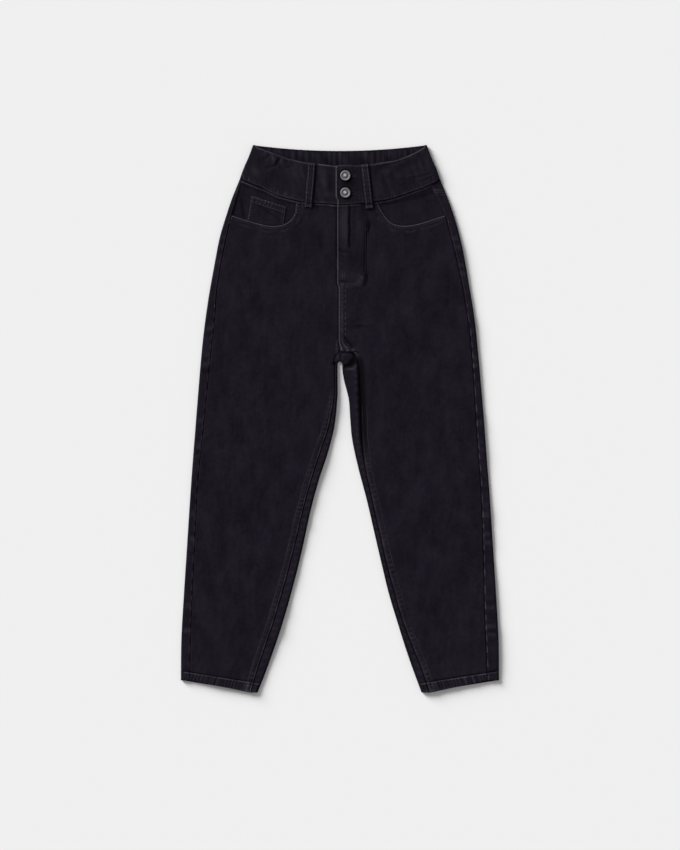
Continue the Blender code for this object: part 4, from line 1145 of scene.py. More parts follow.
grid, marks = coin_grid(LEGS[0])
coin = lay_cloth("denim_coin_pocket", grid, 0.9, 1, denim.material, marks)
coin_left = grid[:, 0, :2]
coin_right = grid[:, -1, :2]
coin_mouth = np.array([grid[0, 0, :2], grid[0, -1, :2]])
coin_rows = [beside(coin_mouth, -1.9), beside(coin_mouth, -COIN_HEM)]
coin_rows += [beside(coin_left, 2.0), beside(coin_right, -2.0), beside(coin_right, -5.5)]
coin_thread = sew("stitching_coin_pocket", coin_rows, [surface_of(coin)], thread.material, 3.0, 2.3)
size, area = cut_of(grid)
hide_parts("coin_pocket")

# Fly shield
# A strip of denim behind the buttoned opening, under the lapped centre front. Its foot is rounded,
# its top is sewn into the waistband seam, and hardly any of it shows.

SHIELD_SIDES = (-12.0, 30.0)
SHIELD_FOOT = 232.0
SHIELD_CORNER = 18.0

up = np.linspace(0, 1, 70)[:, None]
share = np.linspace(0, 1, 16)[None, :]
x = mix(*SHIELD_SIDES, share) + 0 * up
y = mix(SHIELD_FOOT + SHIELD_CORNER * share ** 2, band_seam(x) - 0.3, up)
grid = np.stack([x, y, top_height(x, y) * 0.3 + PANEL_TOP * 0.7 - FACING_DROP - 0.3], axis=2)
shield = lay_cloth("denim_fly_shield", grid, 1.0, 1, denim.material, {"wear_and_highlight": 0.0 * x, "painted_shade": 0.0 * x})
size, area = cut_of(grid)
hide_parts("fly_shield")

# Back yokes
# Shaped pieces between the back panels and the waistband, felled to both with two rows. Their outer
# ends turn up round the hips and show beside the pockets.

BAND_SEAM_SIDE = 444.0
BACK_SEAM_CENTRE = 428.0
BAND_HALF = 185.2


def back_band_seam(d):
    """Height of the back waistband's seam."""
    return mix(BACK_SEAM_CENTRE, BAND_SEAM_SIDE, (d / BAND_HALF) ** 2)


def yoke_grid(leg):
    """Points of a yoke: the lower layer, the roll round the hip and the strip on top, with painted shade
    along its foot seam.
    """
    up = np.linspace(0, 1, 24)[:, None]
    side_y = mix(YOKE_SIDE + HALF_GAP, BAND_SEAM_SIDE - HALF_GAP, up)
    edge = follow(leg.side, 1, side_y) - PANEL_ROLL
    share = np.linspace(0, 1, 60)[None, :-1]
    foot = mix(YOKE_CENTRE + HALF_GAP, YOKE_SIDE + HALF_GAP, share)
    low_d = mix(HALF_GAP, edge, share)
    low_y = mix(foot, back_band_seam(low_d) - HALF_GAP, up)
    low_z = THREAD_LIFT + 0 * low_d
    angles = np.linspace(-math.pi / 2, math.pi / 2, 9)[None, :]
    top = top_height(leg.sign * edge, side_y)
    roll_d = edge + PANEL_ROLL * np.cos(angles)
    roll_y = side_y + 0 * roll_d
    roll_z = mix(THREAD_LIFT, top, (1 + np.sin(angles)) / 2)
    shares = np.linspace(0, 1, 10)[None, 1:]
    seam_d = mix(edge, follow(leg.side, 2, side_y) + HALF_GAP, shares)
    seam_y = side_y + 0 * seam_d
    to_seam = seam_d - follow(leg.side, 2, side_y) - HALF_GAP
    felled_foot = 0.35 * ease((seam_y - side_y[0, 0]) / 1.0) * ease((side_y[0, 0] + 8.0 - seam_y) / 1.5)
    seam_z = top_height(leg.sign * seam_d, seam_y) - 0.9 * hump(to_seam, 0.8) + felled_foot
    d = np.concatenate([low_d, roll_d, seam_d], axis=1)
    y = np.concatenate([low_y, roll_y, seam_y], axis=1)
    z = np.concatenate([low_z, roll_z, seam_z], axis=1)
    foot_y = np.concatenate([foot, YOKE_SIDE + 0 * roll_d[:1], YOKE_SIDE + 0 * seam_d[:1]], axis=1)
    above = y - foot_y
    rope = ropes(d, 6.6, leg.sign)
    wear_and_highlight = (0.3 * hump(above - 1.0, 0.9) + 0.12 * hump(above - 4.0, 2.5) * (0.5 + 0.5 * rope)
              + 0.2 * hump(above - 7.5, 0.9))
    painted_shade = 0.4 * hump(above, 0.6)
    return np.stack([leg.sign * d, y, z], axis=2), {"wear_and_highlight": wear_and_highlight, "painted_shade": painted_shade}


for leg in LEGS:
    grid, marks = yoke_grid(leg)
    yoke = lay_cloth("denim_back_yoke_" + leg.name, grid, DENIM, -1, denim.material, marks)
    surface = surface_of(yoke)
    foot = np.array([[leg.sign * 2.0, YOKE_CENTRE], [leg.sign * (200.4 - PANEL_ROLL), YOKE_SIDE]])
    rows = [foot + (0.0, lift) for lift in (1.8, 7.6)]
    below = sew("stitching_yoke_" + leg.name, rows, [surface], thread.material, below=True)
    strip = np.array([[leg.sign * 197.0, YOKE_SIDE + 1.8], [leg.sign * 175.0, YOKE_SIDE + 1.8]])
    side = side_line(leg, 416.0, 440.0) * np.array([leg.sign, 1.0])
    rows = [strip, strip + (0.0, 5.8), beside(side, -2.6 * leg.sign)]
    above = sew("stitching_yoke_strip_" + leg.name, rows, [surface], thread.material)
    size, area = cut_of(grid)
    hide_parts("back_yoke_" + leg.name)

# Back pockets
# Plain five-sided patches on the side that rests on the surface. Each has a hemmed mouth and two rows
# of stitching round its edge, and nothing is sewn on its face.

POCKET_ROWS = (4.15, 10.85)
POCKET_POINT = 0.85
POCKET_WIDTH = 125.0
POCKET_LENGTH = 150.0


def back_spot(leg, column, row):
    """Place on a back panel from its share across and its row, counted up from the crotch."""
    v = np.interp(row, [0, 12], [FAN_TOP, YOKE_SIDE])
    edge = follow(leg.side, 1, v) - PANEL_ROLL
    centre = mix(CENTRE_FOOT, YOKE_CENTRE, (v - FAN_TOP) / (YOKE_SIDE - FAN_TOP))
    return mix(HALF_GAP, edge, column), mix(centre, v, column)


def pocket_grid(leg):
    """Points of a back pocket, on the panel's own rows."""
    up = np.linspace(0, 1, 70)[:, None]
    across = np.linspace(0, 1, 61)[None, :]
    inner = mix(0.25, 0.215, up)
    outer = mix(0.80, 0.845, up)
    row = mix(POCKET_ROWS[0] + POCKET_POINT * np.abs(2 * across - 1), POCKET_ROWS[1], up)
    d, y = back_spot(leg, mix(inner, outer, across), row)
    edge = np.minimum(across, 1 - across) * POCKET_WIDTH
    top = (1 - up) * POCKET_LENGTH
    foot = up * POCKET_LENGTH
    border = np.minimum(np.minimum(edge, top), foot)
    relief = -0.25 * hump(border, 0.9) - 0.12 * hump(border - 2.0, 0.8) - 0.12 * hump(border - 8.0, 0.8)
    z = THREAD_LIFT - relief
    rope = 0.5 + 0.5 * ropes(d + y, 6.5, 1.0)
    wear_and_highlight = 0.55 * hump(border - 0.5, 1.2) + 0.25 * hump(border - 5.0, 3.0) * rope
    x = leg.sign * d
    return np.stack([x, y, z + 0 * x], axis=2), {"wear_and_highlight": wear_and_highlight + 0 * x, "painted_shade": 0.0 * x}


for leg in LEGS:
    grid, marks = pocket_grid(leg)
    pocket = lay_cloth("denim_back_pocket_" + leg.name, grid, 1.0, -1, denim.material, marks)
    outline = np.concatenate((grid[::-1, 0, :2], grid[0, ::3, :2], grid[:, -1, :2]))
    middle = grid[35, 30, :2]
    rows = [mix(outline, middle, inset) for inset in (0.03, 0.12)]
    mouth = grid[-1, ::4, :2]
    rows += [mouth + (0.0, -2.5), mouth + (0.0, -22.0)]
    surface = surface_of(pocket)
    sewn = sew("stitching_back_pocket_" + leg.name, rows, [surface], thread.material, below=True)
    size, area = cut_of(grid)
    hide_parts("back_pocket_" + leg.name)

# Waistband
# A wide contoured band of doubled denim in three pieces: the back one, whose inner side shows above
# the front, and two front ones that meet it at the sides. The wearer's left one laps over the right
# and has two buttonholes. All are edge-stitched, and their seams pucker the cloth.

Edge = namedtuple("Edge", "y half_width")
Patch = namedtuple("Patch", "x y across up shade")

BAND = 2.0
BAND_BOTTOM = 1.5
BAND_TOP = 8.5
BAND_ROLL = (BAND_TOP - BAND_BOTTOM) / 2
BACK_TOP_CENTRE = 495.8
HALF_LENGTH = 506.5
UNDERLAP_TOP = BAND_TOP - BAND - 0.3
BAND_LAP_END = -7.9
BAND_LAP_FOOT = -4.4
UNDERLAP_END = 34.0
UNDERLAP_RAMP = 20.0
BAND_EDGE = (
    Line(-161.0, 506.5), Line(-152.0, 502.0), Line(-139.0, 497.0), Line(-126.0, 492.6), Line(-113.0, 487.5),
    Line(-100.0, 482.7), Line(-87.0, 479.3), Line(-74.0, 476.3), Line(-62.0, 474.0), Line(-40.0, 471.4),
    Line(-23.0, 469.5), Line(-10.0, 468.0), Line(0.0, 469.3), Line(14.0, 469.8), Line(27.0, 469.1),
    Line(40.0, 469.0), Line(53.0, 470.5), Line(66.0, 471.8), Line(79.0, 474.0), Line(92.0, 475.8),
    Line(105.0, 478.4), Line(118.0, 483.2), Line(131.0, 488.6), Line(144.0, 495.1), Line(157.0, 502.8),
    Line(161.0, 506.5),
)
# How strongly the band's lower edge is rubbed along it
BAND_WEAR = (
    Line(-186.0, 0.5), Line(-150.0, 0.5), Line(-127.0, 0.25), Line(-90.0, 0.25), Line(-74.0, 0.4),
    Line(-50.0, 0.15), Line(-30.0, 0.7), Line(-10.0, 0.45), Line(10.0, 0.2), Line(45.0, 0.15),
    Line(66.0, 0.35), Line(92.0, 0.65), Line(118.0, 0.5), Line(186.0, 0.5),
)
BAND_SIDE = (Edge(444.0, 185.2), Edge(463.0, 178.4), Edge(485.0, 168.8), Edge(506.5, 160.8))
BUTTON_X = 10.2
BUTTON_HEIGHTS = (449.8, 418.0)
HOLE_LENGTH = 19.0
SHANK_HOLE_RADIUS = 4.2

# Middle of each front belt loop at its top and at its foot
LOOP_LEAN = {"right": (-51.6, -58.6), "left": (45.9, 54.9)}

# Creases of the front waistband
BAND_FOLDS = (
    Fold(-111.0, 482.0, -119.0, 467.0, 2.0, 1.5),
    Fold(-116.0, 482.0, -124.0, 468.0, 2.2, -0.7),
    Fold(-119.0, 468.0, -137.0, 462.0, 3.0, 0.9),
    Fold(-130.0, 489.0, -138.0, 479.0, 3.0, 1.2),
    Fold(-136.0, 492.0, -143.0, 484.0, 3.0, -0.6),
    Fold(-102.0, 462.0, -91.0, 465.5, 1.6, 0.7),
    Fold(64.0, 459.0, 88.0, 466.0, 7.0, 1.0),
    Fold(82.0, 468.0, 117.0, 479.0, 4.0, 1.5),
    Fold(78.0, 446.0, 112.0, 470.0, 6.0, -0.9),
    Fold(122.0, 446.0, 168.0, 457.0, 2.0, -0.6),
    Fold(147.0, 441.0, 172.0, 451.5, 1.2, -0.7),
    Fold(112.0, 434.0, 118.0, 438.0, 2.2, -0.6),
)

# Painted shade of soft folds on the front waistband, and painted light where the shade is negative
BAND_PATCHES = (
    Patch(-147.0, 478.0, 13.0, 10.0, 0.35),
    Patch(-155.0, 458.0, 10.0, 9.0, -0.10),
    Patch(-128.0, 446.0, 9.0, 14.0, 0.22),
    Patch(-105.0, 440.0, 8.0, 12.0, 0.18),
    Patch(-82.0, 452.0, 14.0, 12.0, -0.08),
    Patch(-30.0, 440.0, 9.0, 24.0, -0.11),
    Patch(-20.0, 415.0, 14.0, 6.0, -0.08),
    Patch(22.0, 436.0, 17.0, 26.0, 0.42),
    Patch(70.0, 458.0, 10.0, 9.0, 0.40),
    Patch(90.0, 466.0, 15.0, 5.0, 0.50),
    Patch(110.0, 471.0, 10.0, 5.0, 0.45),
    Patch(125.0, 478.0, 9.0, 6.0, 0.28),
    Patch(146.0, 488.0, 9.0, 6.0, 0.35),
    Patch(104.0, 450.0, 20.0, 12.0, -0.05),
    Patch(70.0, 425.0, 8.0, 12.0, -0.05),
    Patch(140.0, 464.0, 12.0, 12.0, -0.04),
    Patch(118.0, 436.0, 9.0, 7.0, 0.16),
    Patch(160.0, 452.0, 8.0, 8.0, 0.18),
)


def band_patches(x, y):
    """How much painted shade, or painted light below 0, the band has at each place."""
    shade = 0.0
    for patch in BAND_PATCHES:
        spot = patch.shade * hump((x - patch.x) / patch.across, 1.0)
        shade = shade + spot * hump((y - patch.y) / patch.up, 1.0)
    return shade


def back_band_grid():
    """Points of the back band, with a half roll up at both sides, painted shade in its rope troughs, over its
    lower part and under its top edge.
    """
    up = np.linspace(0, 1, 34)[:, None]
    side_y = mix(BAND_SEAM_SIDE + HALF_GAP, HALF_LENGTH, up)
    edge = follow(BAND_SIDE, 1, side_y)
    share = np.linspace(0, 1, 72)[None, :-1]
    d = share * (edge - BAND_ROLL)
    low = back_band_seam(d) + HALF_GAP
    high = mix(BACK_TOP_CENTRE, HALF_LENGTH, (d / BAND_SIDE[-1].half_width) ** 2)
    y = mix(low, high, up)
    z = BAND_BOTTOM + 0 * d
    angles = np.linspace(-math.pi / 2, 0, 6)[None, :]
    roll_d = edge - BAND_ROLL + BAND_ROLL * np.cos(angles)
    roll_y = side_y + 0 * roll_d
    roll_z = BAND_BOTTOM + BAND_ROLL + BAND_ROLL * np.sin(angles) + 0 * roll_d
    half_d = np.concatenate([d, roll_d], axis=1)
    half_y = np.concatenate([y, roll_y], axis=1)
    half_z = np.concatenate([z, roll_z], axis=1)
    x = np.concatenate([-half_d[:, :0:-1], half_d], axis=1)
    y = np.concatenate([half_y[:, :0:-1], half_y], axis=1)
    z = np.concatenate([half_z[:, :0:-1], half_z], axis=1)
    across = x + 0 * y
    rope = ropes(across, 11.0, 1.0) * 0.6 + ropes(across, 5.7, 3.0) * 0.4
    fade = ease(up / 0.25) * ease((1.03 - up) / 0.1)
    middle = ease((150.0 - np.abs(x)) / 20.0)
    z = z + (0.55 * rope * middle) * fade + 0.2 * middle
    blotch = np.sin(across / 13.0 + 1.0) * np.sin(across / 5.1 + up * 9.0)
    wear_and_highlight = 0.22 * np.clip(rope, 0, 1) * middle * fade + 0.07 * np.clip(blotch, 0, 1)
    painted_shade = 0.34 * np.clip(-rope, 0, 1) * middle + 0.32 * ease((0.93 - up) / 0.25)
    painted_shade = painted_shade + 0.30 * np.clip(-blotch, 0, 1) + 0.45 * hump((1 - up) * 66.0 - 1.0, 1.6)
    return np.stack([x, y, z], axis=2), {"wear_and_highlight": wear_and_highlight + 0 * x, "painted_shade": painted_shade + 0 * x}


grid, marks = back_band_grid()
back_band = lay_cloth("denim_waistband_back", grid, BAND, -1, denim.material, marks)
surface = surface_of(back_band)
top_row = grid[-1, 8:-8:4, :2] + (0.0, -2.2)
foot_row = grid[0, 8:-8:4, :2] + (0.0, 2.2)
below = sew("stitching_waistband_back", [top_row, foot_row], [surface], thread.material, below=True)
size, area = cut_of(grid)
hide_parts("waistband_back")


def underlap_height(x):
    """Height of the right band, which dips under the left one's end."""
    share = (x - (BAND_LAP_END - UNDERLAP_RAMP)) / (UNDERLAP_RAMP - 2.0)
    return mix(BAND_TOP, UNDERLAP_TOP, ease(share))


def front_band_grid(leg):
    """Points of a front band from the roll at the side to its end."""
    up = np.concatenate((
        [0, 0.012, 0.03, 0.05], np.linspace(0.075, 0.925, 38), [0.95, 0.97, 0.988, 1],
    ))[:, None]
    side_y = mix(BAND_SEAM_SIDE + HALF_GAP, HALF_LENGTH, up)
    edge = follow(BAND_SIDE, 1, side_y)
    angles = np.linspace(0, math.pi / 2, 7)[None, :]
    roll_d = edge - BAND_ROLL + BAND_ROLL * np.cos(angles)
    roll_z = BAND_BOTTOM + BAND_ROLL + BAND_ROLL * np.sin(angles) + 0 * roll_d
    roll_y = side_y + 0 * roll_d
    foot_turn = ease((416.0 - mix(400.0, 469.0, up)) / 10.0)
    lap_end = mix(BAND_LAP_END, BAND_LAP_FOOT, foot_turn)
    end = -UNDERLAP_END if leg.sign < 0 else lap_end
    share = np.concatenate((np.linspace(0, 0.975, 96)[1:], [0.982, 0.989, 0.995, 1.0]))[None, :]
    d = mix(edge - BAND_ROLL, end, share)
    low = band_seam(leg.sign * d) + HALF_GAP
    if leg.sign < 0:
        dip = (BAND_TOP - underlap_height(-d)) / (BAND_TOP - UNDERLAP_TOP)
        low = low + dip
        z = underlap_height(-d)
    else:
        z = BAND_TOP + 0 * d
    high = follow(BAND_EDGE, 1, leg.sign * d)
    if leg.sign > 0:
        high = high - 3.0 * (1 - ease((d - lap_end) / 5.0))
    y = mix(low, high, up)
    d = np.concatenate([roll_d, d], axis=1)
    y = np.concatenate([roll_y, y], axis=1)
    z = np.concatenate([roll_z, z + 0 * y[:, 7:]], axis=1)
    x = leg.sign * d

    # Edge stitching, ropes and ticks along both edges, and the creases between them, with painted shade along
    # the inner rows
    height = y[-1:] - y[:1]
    above = up * height
    below = (1 - up) * height
    flat = ease((edge - d) / 6.0)
    rope = ropes(x, 6.8, 1.0 + leg.sign)
    z = z + flat * folded(0.0, BAND_FOLDS, x, y) * ease(above / 3.0) * ease(below / 3.0)
    z = z + flat * 0.4 * rope * hump(above - 6.5, 5.0)
    z = z + 0.22 * flat * ropes(x, 8.8, 2.0) * hump(below - 5.0, 4.0)
    z = z + 0.25 * flat * hand_waves(1.6 * x, 1.6 * y)
    z = z - 0.9 * hump(above, 1.2) - 0.7 * hump(below, 1.0)
    z = z - 0.3 * hump(above - 3.0, 0.8) - 0.25 * hump(below - 3.0, 0.8)
    tick = np.clip(ropes(x, 11.5, 2.0), 0, 1) * hump(above - 5.5, 2.6) * ease((-50.0 - x) / 10.0)
    pucker = np.clip(ropes(x, 12.5, 3.0), 0, 1) * hump(below - 9.0, 5.5)
    pucker = pucker * ease((-66.0 - x) / 8.0) * ease((x + 150.0) / 14.0)
    z = z + flat * (0.35 * tick + 0.6 * pucker)
    top_wear = mix(0.66, 0.46, ease((x - 5.0) / 30.0)) * ease((150.0 + x) / 14.0)
    wear_and_highlight = top_wear * hump(above - 0.7, 0.85) * (0.8 + 0.2 * rope) + 0.26 * tick + 0.20 * pucker
    wear_and_highlight = wear_and_highlight + 1.25 * follow(BAND_WEAR, 1, x) * hump(below - 0.8, 0.75)
    painted_shade = 0.45 * hump(above - 3.4, 1.0) * ease((x + 4.0) / 6.0) * ease((125.0 - x) / 20.0)
    painted_shade = painted_shade + 0.25 * hump(below - 3.2, 0.9) * dashes(x, 23.0, 1.0)

    # Blotches of painted shade and painted light from soft folds, and a painted shadow beside each belt loop
    shade = band_patches(x, y) + 0.05 * ropes(x + 0.4 * y, 17.0, 1.0)
    wear_and_highlight = wear_and_highlight + flat * np.clip(-shade, 0, 1)
    painted_shade = painted_shade + flat * np.clip(shade, 0, 1)
    top_x, foot_x = LOOP_LEAN[leg.name]
    beside_loop = x - mix(foot_x, top_x, (y - 392.0) / 80.0) - 8.2
    painted_shade = painted_shade + 0.85 * hump(beside_loop - 0.6, 1.7) + 0.4 * hump(beside_loop + 16.6, 1.2)

    # Lapping end and buttonholes, with painted shade beside the end and in the slits, and painted shade round
    # and between the buttons
    if leg.sign > 0:
        to_end = d - lap_end
        z = z - 0.8 * hump(to_end, 0.9)
        wear_and_highlight = wear_and_highlight + 0.66 * hump(to_end - 1.0, 0.95)
        painted_shade = painted_shade + 0.60 * hump(to_end - 4.0, 1.2)
        for height in BUTTON_HEIGHTS:
            slit = hump(y - height, 0.9) * ease((x - BUTTON_X + 3.0) / 2.0)
            slit = slit * ease((BUTTON_X + HOLE_LENGTH - x) / 1.5)
            z = z - 0.9 * slit
            painted_shade = painted_shade + 0.9 * slit
        for height in BUTTON_HEIGHTS:
            painted_shade = painted_shade + 0.8 * hump(np.hypot(x - BUTTON_X, y - height) - 10.9, 1.8)
        dent = hump(np.abs(x - BUTTON_X), 13.0) * hump(y - 434.0, 4.0)
        painted_shade = painted_shade + 0.35 * dent
        z = z - 0.5 * dent
    return np.stack([x, y, z], axis=2), {"wear_and_highlight": wear_and_highlight, "painted_shade": painted_shade}


for leg in LEGS:
    grid, marks = front_band_grid(leg)
    if leg.sign > 0:
        for height in BUTTON_HEIGHTS:
            hole = np.hypot(grid[:, :, 0] - BUTTON_X, grid[:, :, 1] - height) < SHANK_HOLE_RADIUS
            grid[hole] = np.nan
    band = lay_cloth("denim_waistband_front_" + leg.name, grid, BAND, 1, denim.material, marks)
    surface = surface_of(band)
    if leg.sign > 0:
        left_band_surface = surface
    first = 8 if leg.sign > 0 else 7
    top_row = grid[-1, first::3, :2] + (0.0, -3.0)
    foot_row = grid[0, first::3, :2] + (0.0, 3.0)
    rows = [top_row, foot_row]
    if leg.sign > 0:
        rows.append(np.array([[BAND_LAP_END + 2.6, 402.5], [BAND_LAP_END + 2.6, 466.5]]))
    sewn = sew("stitching_waistband_front_" + leg.name, rows, [surface], thread.material)
    size, area = cut_of(grid)
    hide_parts("waistband_front_" + leg.name)

# Buttonholes
# A dense purl of thin reddish-brown thread along both lips of each slit, with a short bar at its end.

purl = Finish("buttonhole thread")
purl_twist = purl.noise(object_place(purl), 2400.0, 2.0)
purl_colour = purl.blend(purl_twist, (0.009, 0.003, 0.004, 1.0), (0.030, 0.008, 0.010, 1.0))
purl.finish(Base_Color=purl_colour, Roughness=0.55, Specular_IOR_Level=0.3)
purl_rows = []
for height in BUTTON_HEIGHTS:
    for at in np.arange(BUTTON_X + 4.5, BUTTON_X + HOLE_LENGTH - 0.6, 0.62):
        purl_rows.append(np.array([[at, height + 0.5], [at, height + 2.3]]))
        purl_rows.append(np.array([[at, height - 0.5], [at, height - 2.3]]))
    for lift in np.arange(-1.6, 1.7, 0.62):
        end = BUTTON_X + HOLE_LENGTH
        purl_rows.append(np.array([[end, height + lift], [end + 1.8, height + lift]]))
sew("buttonhole_thread", purl_rows, [left_band_surface], purl.material, 1.7, 1.8, 0.55)

# Belt loops
# Strips of denim folded in three and sewn near both edges, turned under and bar-tacked at their ends.
# Two stand over the front waistband and three lie under the back one.

LOOP_WIDTH = 14.4
# Pitch, length and width of its stitches
LOOP_STITCH = (2.6, 2.2, 0.7)
LOOP_FEET = {"right": 9.5, "left": 11.4}
FRONT_LOOPS = {"right": -55.5, "left": 49.5}
BACK_LOOPS = {"right": -105.0, "centre": 0.0, "left": 105.0}
HALF_LOOP = LOOP_WIDTH / 2
LOOP_EDGE = np.array([0, 0.6, 1.3, 2.1, 2.9, 3.7])
BACK_LOOP_ROW = 4.5
FRONT_TACK = 6.6
BACK_TACK = 6.4


def loop_profile(across):
    """Relief across a loop: rolled edges, a dent at each row of stitches, and a soft middle."""
    edge = LOOP_WIDTH / 2 - np.abs(across)
    relief = -0.8 * hump(edge, 0.9) + 0.35 * hump(edge - 2.6, 1.0) - 0.3 * hump(edge - 4.4, 0.8)
    relief = relief + 0.2 * hump(across, 2.2)
    wear_and_highlight = 0.44 * hump(edge - 2.6, 0.85) + 0.07
    return relief, wear_and_highlight


for leg in LEGS:
    cad_x = FRONT_LOOPS[leg.name]
    top_x, foot_x = LOOP_LEAN[leg.name]
    seam = float(band_seam(cad_x))
    top = float(follow(BAND_EDGE, 1, cad_x))
    foot = seam - LOOP_FEET[leg.name]
    run = np.concatenate((np.linspace(foot, seam - 6, 7), np.linspace(seam - 5, seam + 4, 9),
                          np.linspace(seam + 6, top + 0.4, 28)))[:, None]
    across = np.concatenate((-HALF_LOOP + LOOP_EDGE, np.linspace(-2.4, 2.4, 4),
                             HALF_LOOP - LOOP_EDGE[::-1]))[None, :]
    share = (run - foot) / (top - foot)
    x = mix(foot_x, top_x, share) + across * (1.0 - 0.03 * np.sin(share * 9.0))
    y = run + 0.10 * across * np.sign(foot_x - top_x)
    relief, wear_and_highlight = loop_profile(across)
    lift = ease((run - seam + 6.5) / 7.0)
    z = mix(PANEL_TOP + 1.7, BAND_TOP + 1.7, lift) + 0.5 * hump(share - 0.6, 0.25)
    end = np.minimum(run - run[0], run[-1] - run)
    z = z + relief + 0.5 * hump(end - 3.5, 2.0) - 0.4 * hump(end - 7.0, 1.4) - 0.5 * hump(end, 0.8)
    z = z + 0.15 * ropes(run, 6.0, 1.0) * hump(np.abs(across) - 5.5, 2.0)
    rope = ropes(run, 9.0, 2.0 + leg.sign)
    wear_and_highlight = wear_and_highlight * (0.75 + 0.25 * rope) + 0.30 * hump(end - 1.6, 0.8) + 0 * x
    wear_and_highlight = wear_and_highlight + 0.25 * hump(end - 5.2, 0.8) * (share < 0.5)
    # Painted shade at the ends, along both edges, beside the inner rows and in the rope troughs
    painted_shade = 0.55 * hump(end - 3.4, 0.8) + 0.45 * hump(np.abs(across) - 6.9, 0.8)
    painted_shade = painted_shade + 0.30 * hump(np.abs(across) - 2.8, 0.8) + 0.35 * np.clip(-rope, 0, 1)
    grid = np.stack([x, y, z], axis=2)
    loop = lay_cloth("denim_belt_loop_front_" + leg.name, grid, 1.3, 1, denim.material,
                     {"wear_and_highlight": wear_and_highlight, "painted_shade": painted_shade + 0 * x})
    surface = surface_of(loop)
    rows = [grid[:, 4, :2], grid[:, -5, :2]]
    for y0 in (foot + 2.6, top - 2.8):
        middle_x = float(np.interp(y0, run[:, 0], mix(foot_x, top_x, share)[:, 0]))
        for lift in np.arange(-1.2, 1.3, 0.6):
            rows.append(np.array([[middle_x - FRONT_TACK, y0 + lift], [middle_x + FRONT_TACK, y0 + lift]]))
    sewn = sew("stitching_belt_loop_front_" + leg.name, rows, [surface], thread.material, *LOOP_STITCH)
    size, area = cut_of(grid)
    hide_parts("belt_loop_front_" + leg.name)

for name, loop_x in BACK_LOOPS.items():
    low = float(back_band_seam(abs(loop_x))) + 1.0
    high = mix(BACK_TOP_CENTRE, HALF_LENGTH, (loop_x / BAND_SIDE[-1].half_width) ** 2) - 1.0
    run = np.linspace(low, high, 34)[:, None]
    across = np.linspace(-HALF_LOOP, HALF_LOOP, 17)[None, :]
    relief, wear_and_highlight = loop_profile(across)
    z = THREAD_LIFT + 0.1 - 0.25 * relief + 0 * run
    grid = np.stack([loop_x + across + 0 * run, run + 0 * across, z + 0 * across], axis=2)
    loop = lay_cloth("denim_belt_loop_back_" + name, grid, 1.0, -1, denim.material,
                     {"wear_and_highlight": wear_and_highlight + 0 * run, "painted_shade": 0 * z})
    surface = surface_of(loop)
    rows = [np.array([[loop_x + side, low + 2.0], [loop_x + side, high - 2.0]])
            for side in (-BACK_LOOP_ROW, BACK_LOOP_ROW)]
    for y0 in (low + 3.0, high - 3.0):
        for lift in np.arange(-1.2, 1.3, 0.6):
            rows.append(np.array([[loop_x - BACK_TACK, y0 + lift], [loop_x + BACK_TACK, y0 + lift]]))
    sewn = sew("stitching_belt_loop_back_" + name, rows, [surface], thread.material, *LOOP_STITCH,
               below=True)
    size, area = cut_of(grid)
    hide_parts("belt_loop_back_" + name)

# Buttons
# Two plain shank buttons of dull nickel, each a pressed cap with a raised rim, a sunk ring and a
# small dome in the middle. The shank passes through the buttonhole to the underlap.

nickel = Finish("dull nickel")
nickel_place = object_place(nickel)
tarnish = nickel.noise(nickel_place, 430.0, 3.0, 0.6)
scratches = nickel.noise(nickel.stretch(nickel_place, (900.0, 3200.0, 900.0)), 1.0, 3.0)
sunk = nickel.node("ShaderNodeAttribute", {"attribute_name": "sunk"}, None, 2)
nickel_colour = nickel.blend(tarnish * 1.6 - 0.3, (0.055, 0.052, 0.058, 1.0), (0.22, 0.21, 0.23, 1.0))
painted_highlight = nickel.node("ShaderNodeAttribute", {"attribute_name": "painted_highlight"}, None, 2)
nickel_colour = nickel.blend(sunk, nickel_colour, (0.055, 0.052, 0.058, 1.0))
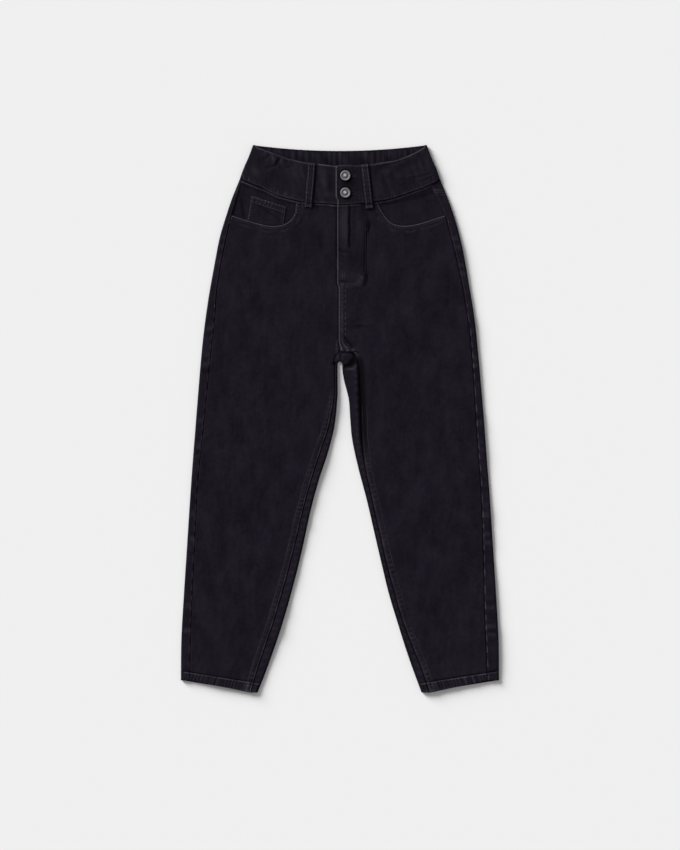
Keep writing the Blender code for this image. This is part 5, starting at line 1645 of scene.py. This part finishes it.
# Painted highlight on the small dome in the middle and a faint one on the rim
nickel_colour = nickel.blend(painted_highlight, nickel_colour, (0.56, 0.53, 0.55, 1.0))
nickel_bump = nickel.node("ShaderNodeBump", None, {"Strength": 0.2, "Distance": 0.0001, "Height": scratches})
nickel.finish(Base_Color=nickel_colour, Metallic=0.30, Roughness=0.50 + tarnish * 0.2, Normal=nickel_bump)

BUTTON_PROFILE = (
    (0.0, 6.5), (3.4, 6.5), (3.4, 8.7), (8.2, 8.8), (9.1, 9.1), (9.4, 9.7), (9.35, 10.3), (8.9, 10.9),
    (8.3, 11.2), (7.6, 11.15), (7.0, 10.8), (6.6, 10.35), (6.0, 10.2), (4.4, 10.2), (3.8, 10.3),
    (3.4, 10.7), (2.9, 11.2), (2.2, 11.5), (1.2, 11.68), (0.0, 11.7),
)
BUTTON_STEPS = 48
for number, (name, height) in enumerate(zip(("upper", "lower"), BUTTON_HEIGHTS)):
    bm = bmesh.new()
    points = [bm.verts.new((radius, 0.0, z)) for radius, z in BUTTON_PROFILE]
    edges = [bm.edges.new(pair) for pair in zip(points, points[1:])]
    bmesh.ops.spin(bm, geom=points + edges, cent=(0, 0, 0), axis=(0, 0, 1), angle=math.tau,
                   steps=BUTTON_STEPS, use_merge=True)
    bmesh.ops.remove_doubles(bm, verts=bm.verts[:], dist=0.001)
    bmesh.ops.recalc_face_normals(bm, faces=bm.faces[:])
    radius = [math.hypot(vert.co.x, vert.co.y) for vert in bm.verts]
    bmesh.ops.translate(bm, verts=bm.verts[:], vec=(BUTTON_X, height, 0.0))
    bmesh.ops.transform(bm, matrix=Matrix.Scale(MM, 4), verts=bm.verts[:])
    mesh = bpy.data.meshes.new("nickel_button_" + name)
    bm.to_mesh(mesh)
    bm.free()
    radius = np.array(radius)
    sunk_ring = mesh.attributes.new("sunk", "FLOAT", "POINT")
    sunk_ring.data.foreach_set("value", (hump(radius - 5.0, 1.7) * 0.6).astype(np.float32))
    # Painted highlight, strongest on the middle dome
    tip = mesh.attributes.new("painted_highlight", "FLOAT", "POINT")
    tip.data.foreach_set("value", (hump(radius, 1.4) + 0.10 * hump(radius - 7.9, 0.8)).astype(np.float32))
    button = bring_in("nickel_button_" + name, mesh, nickel.material)
    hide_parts("button_" + name)
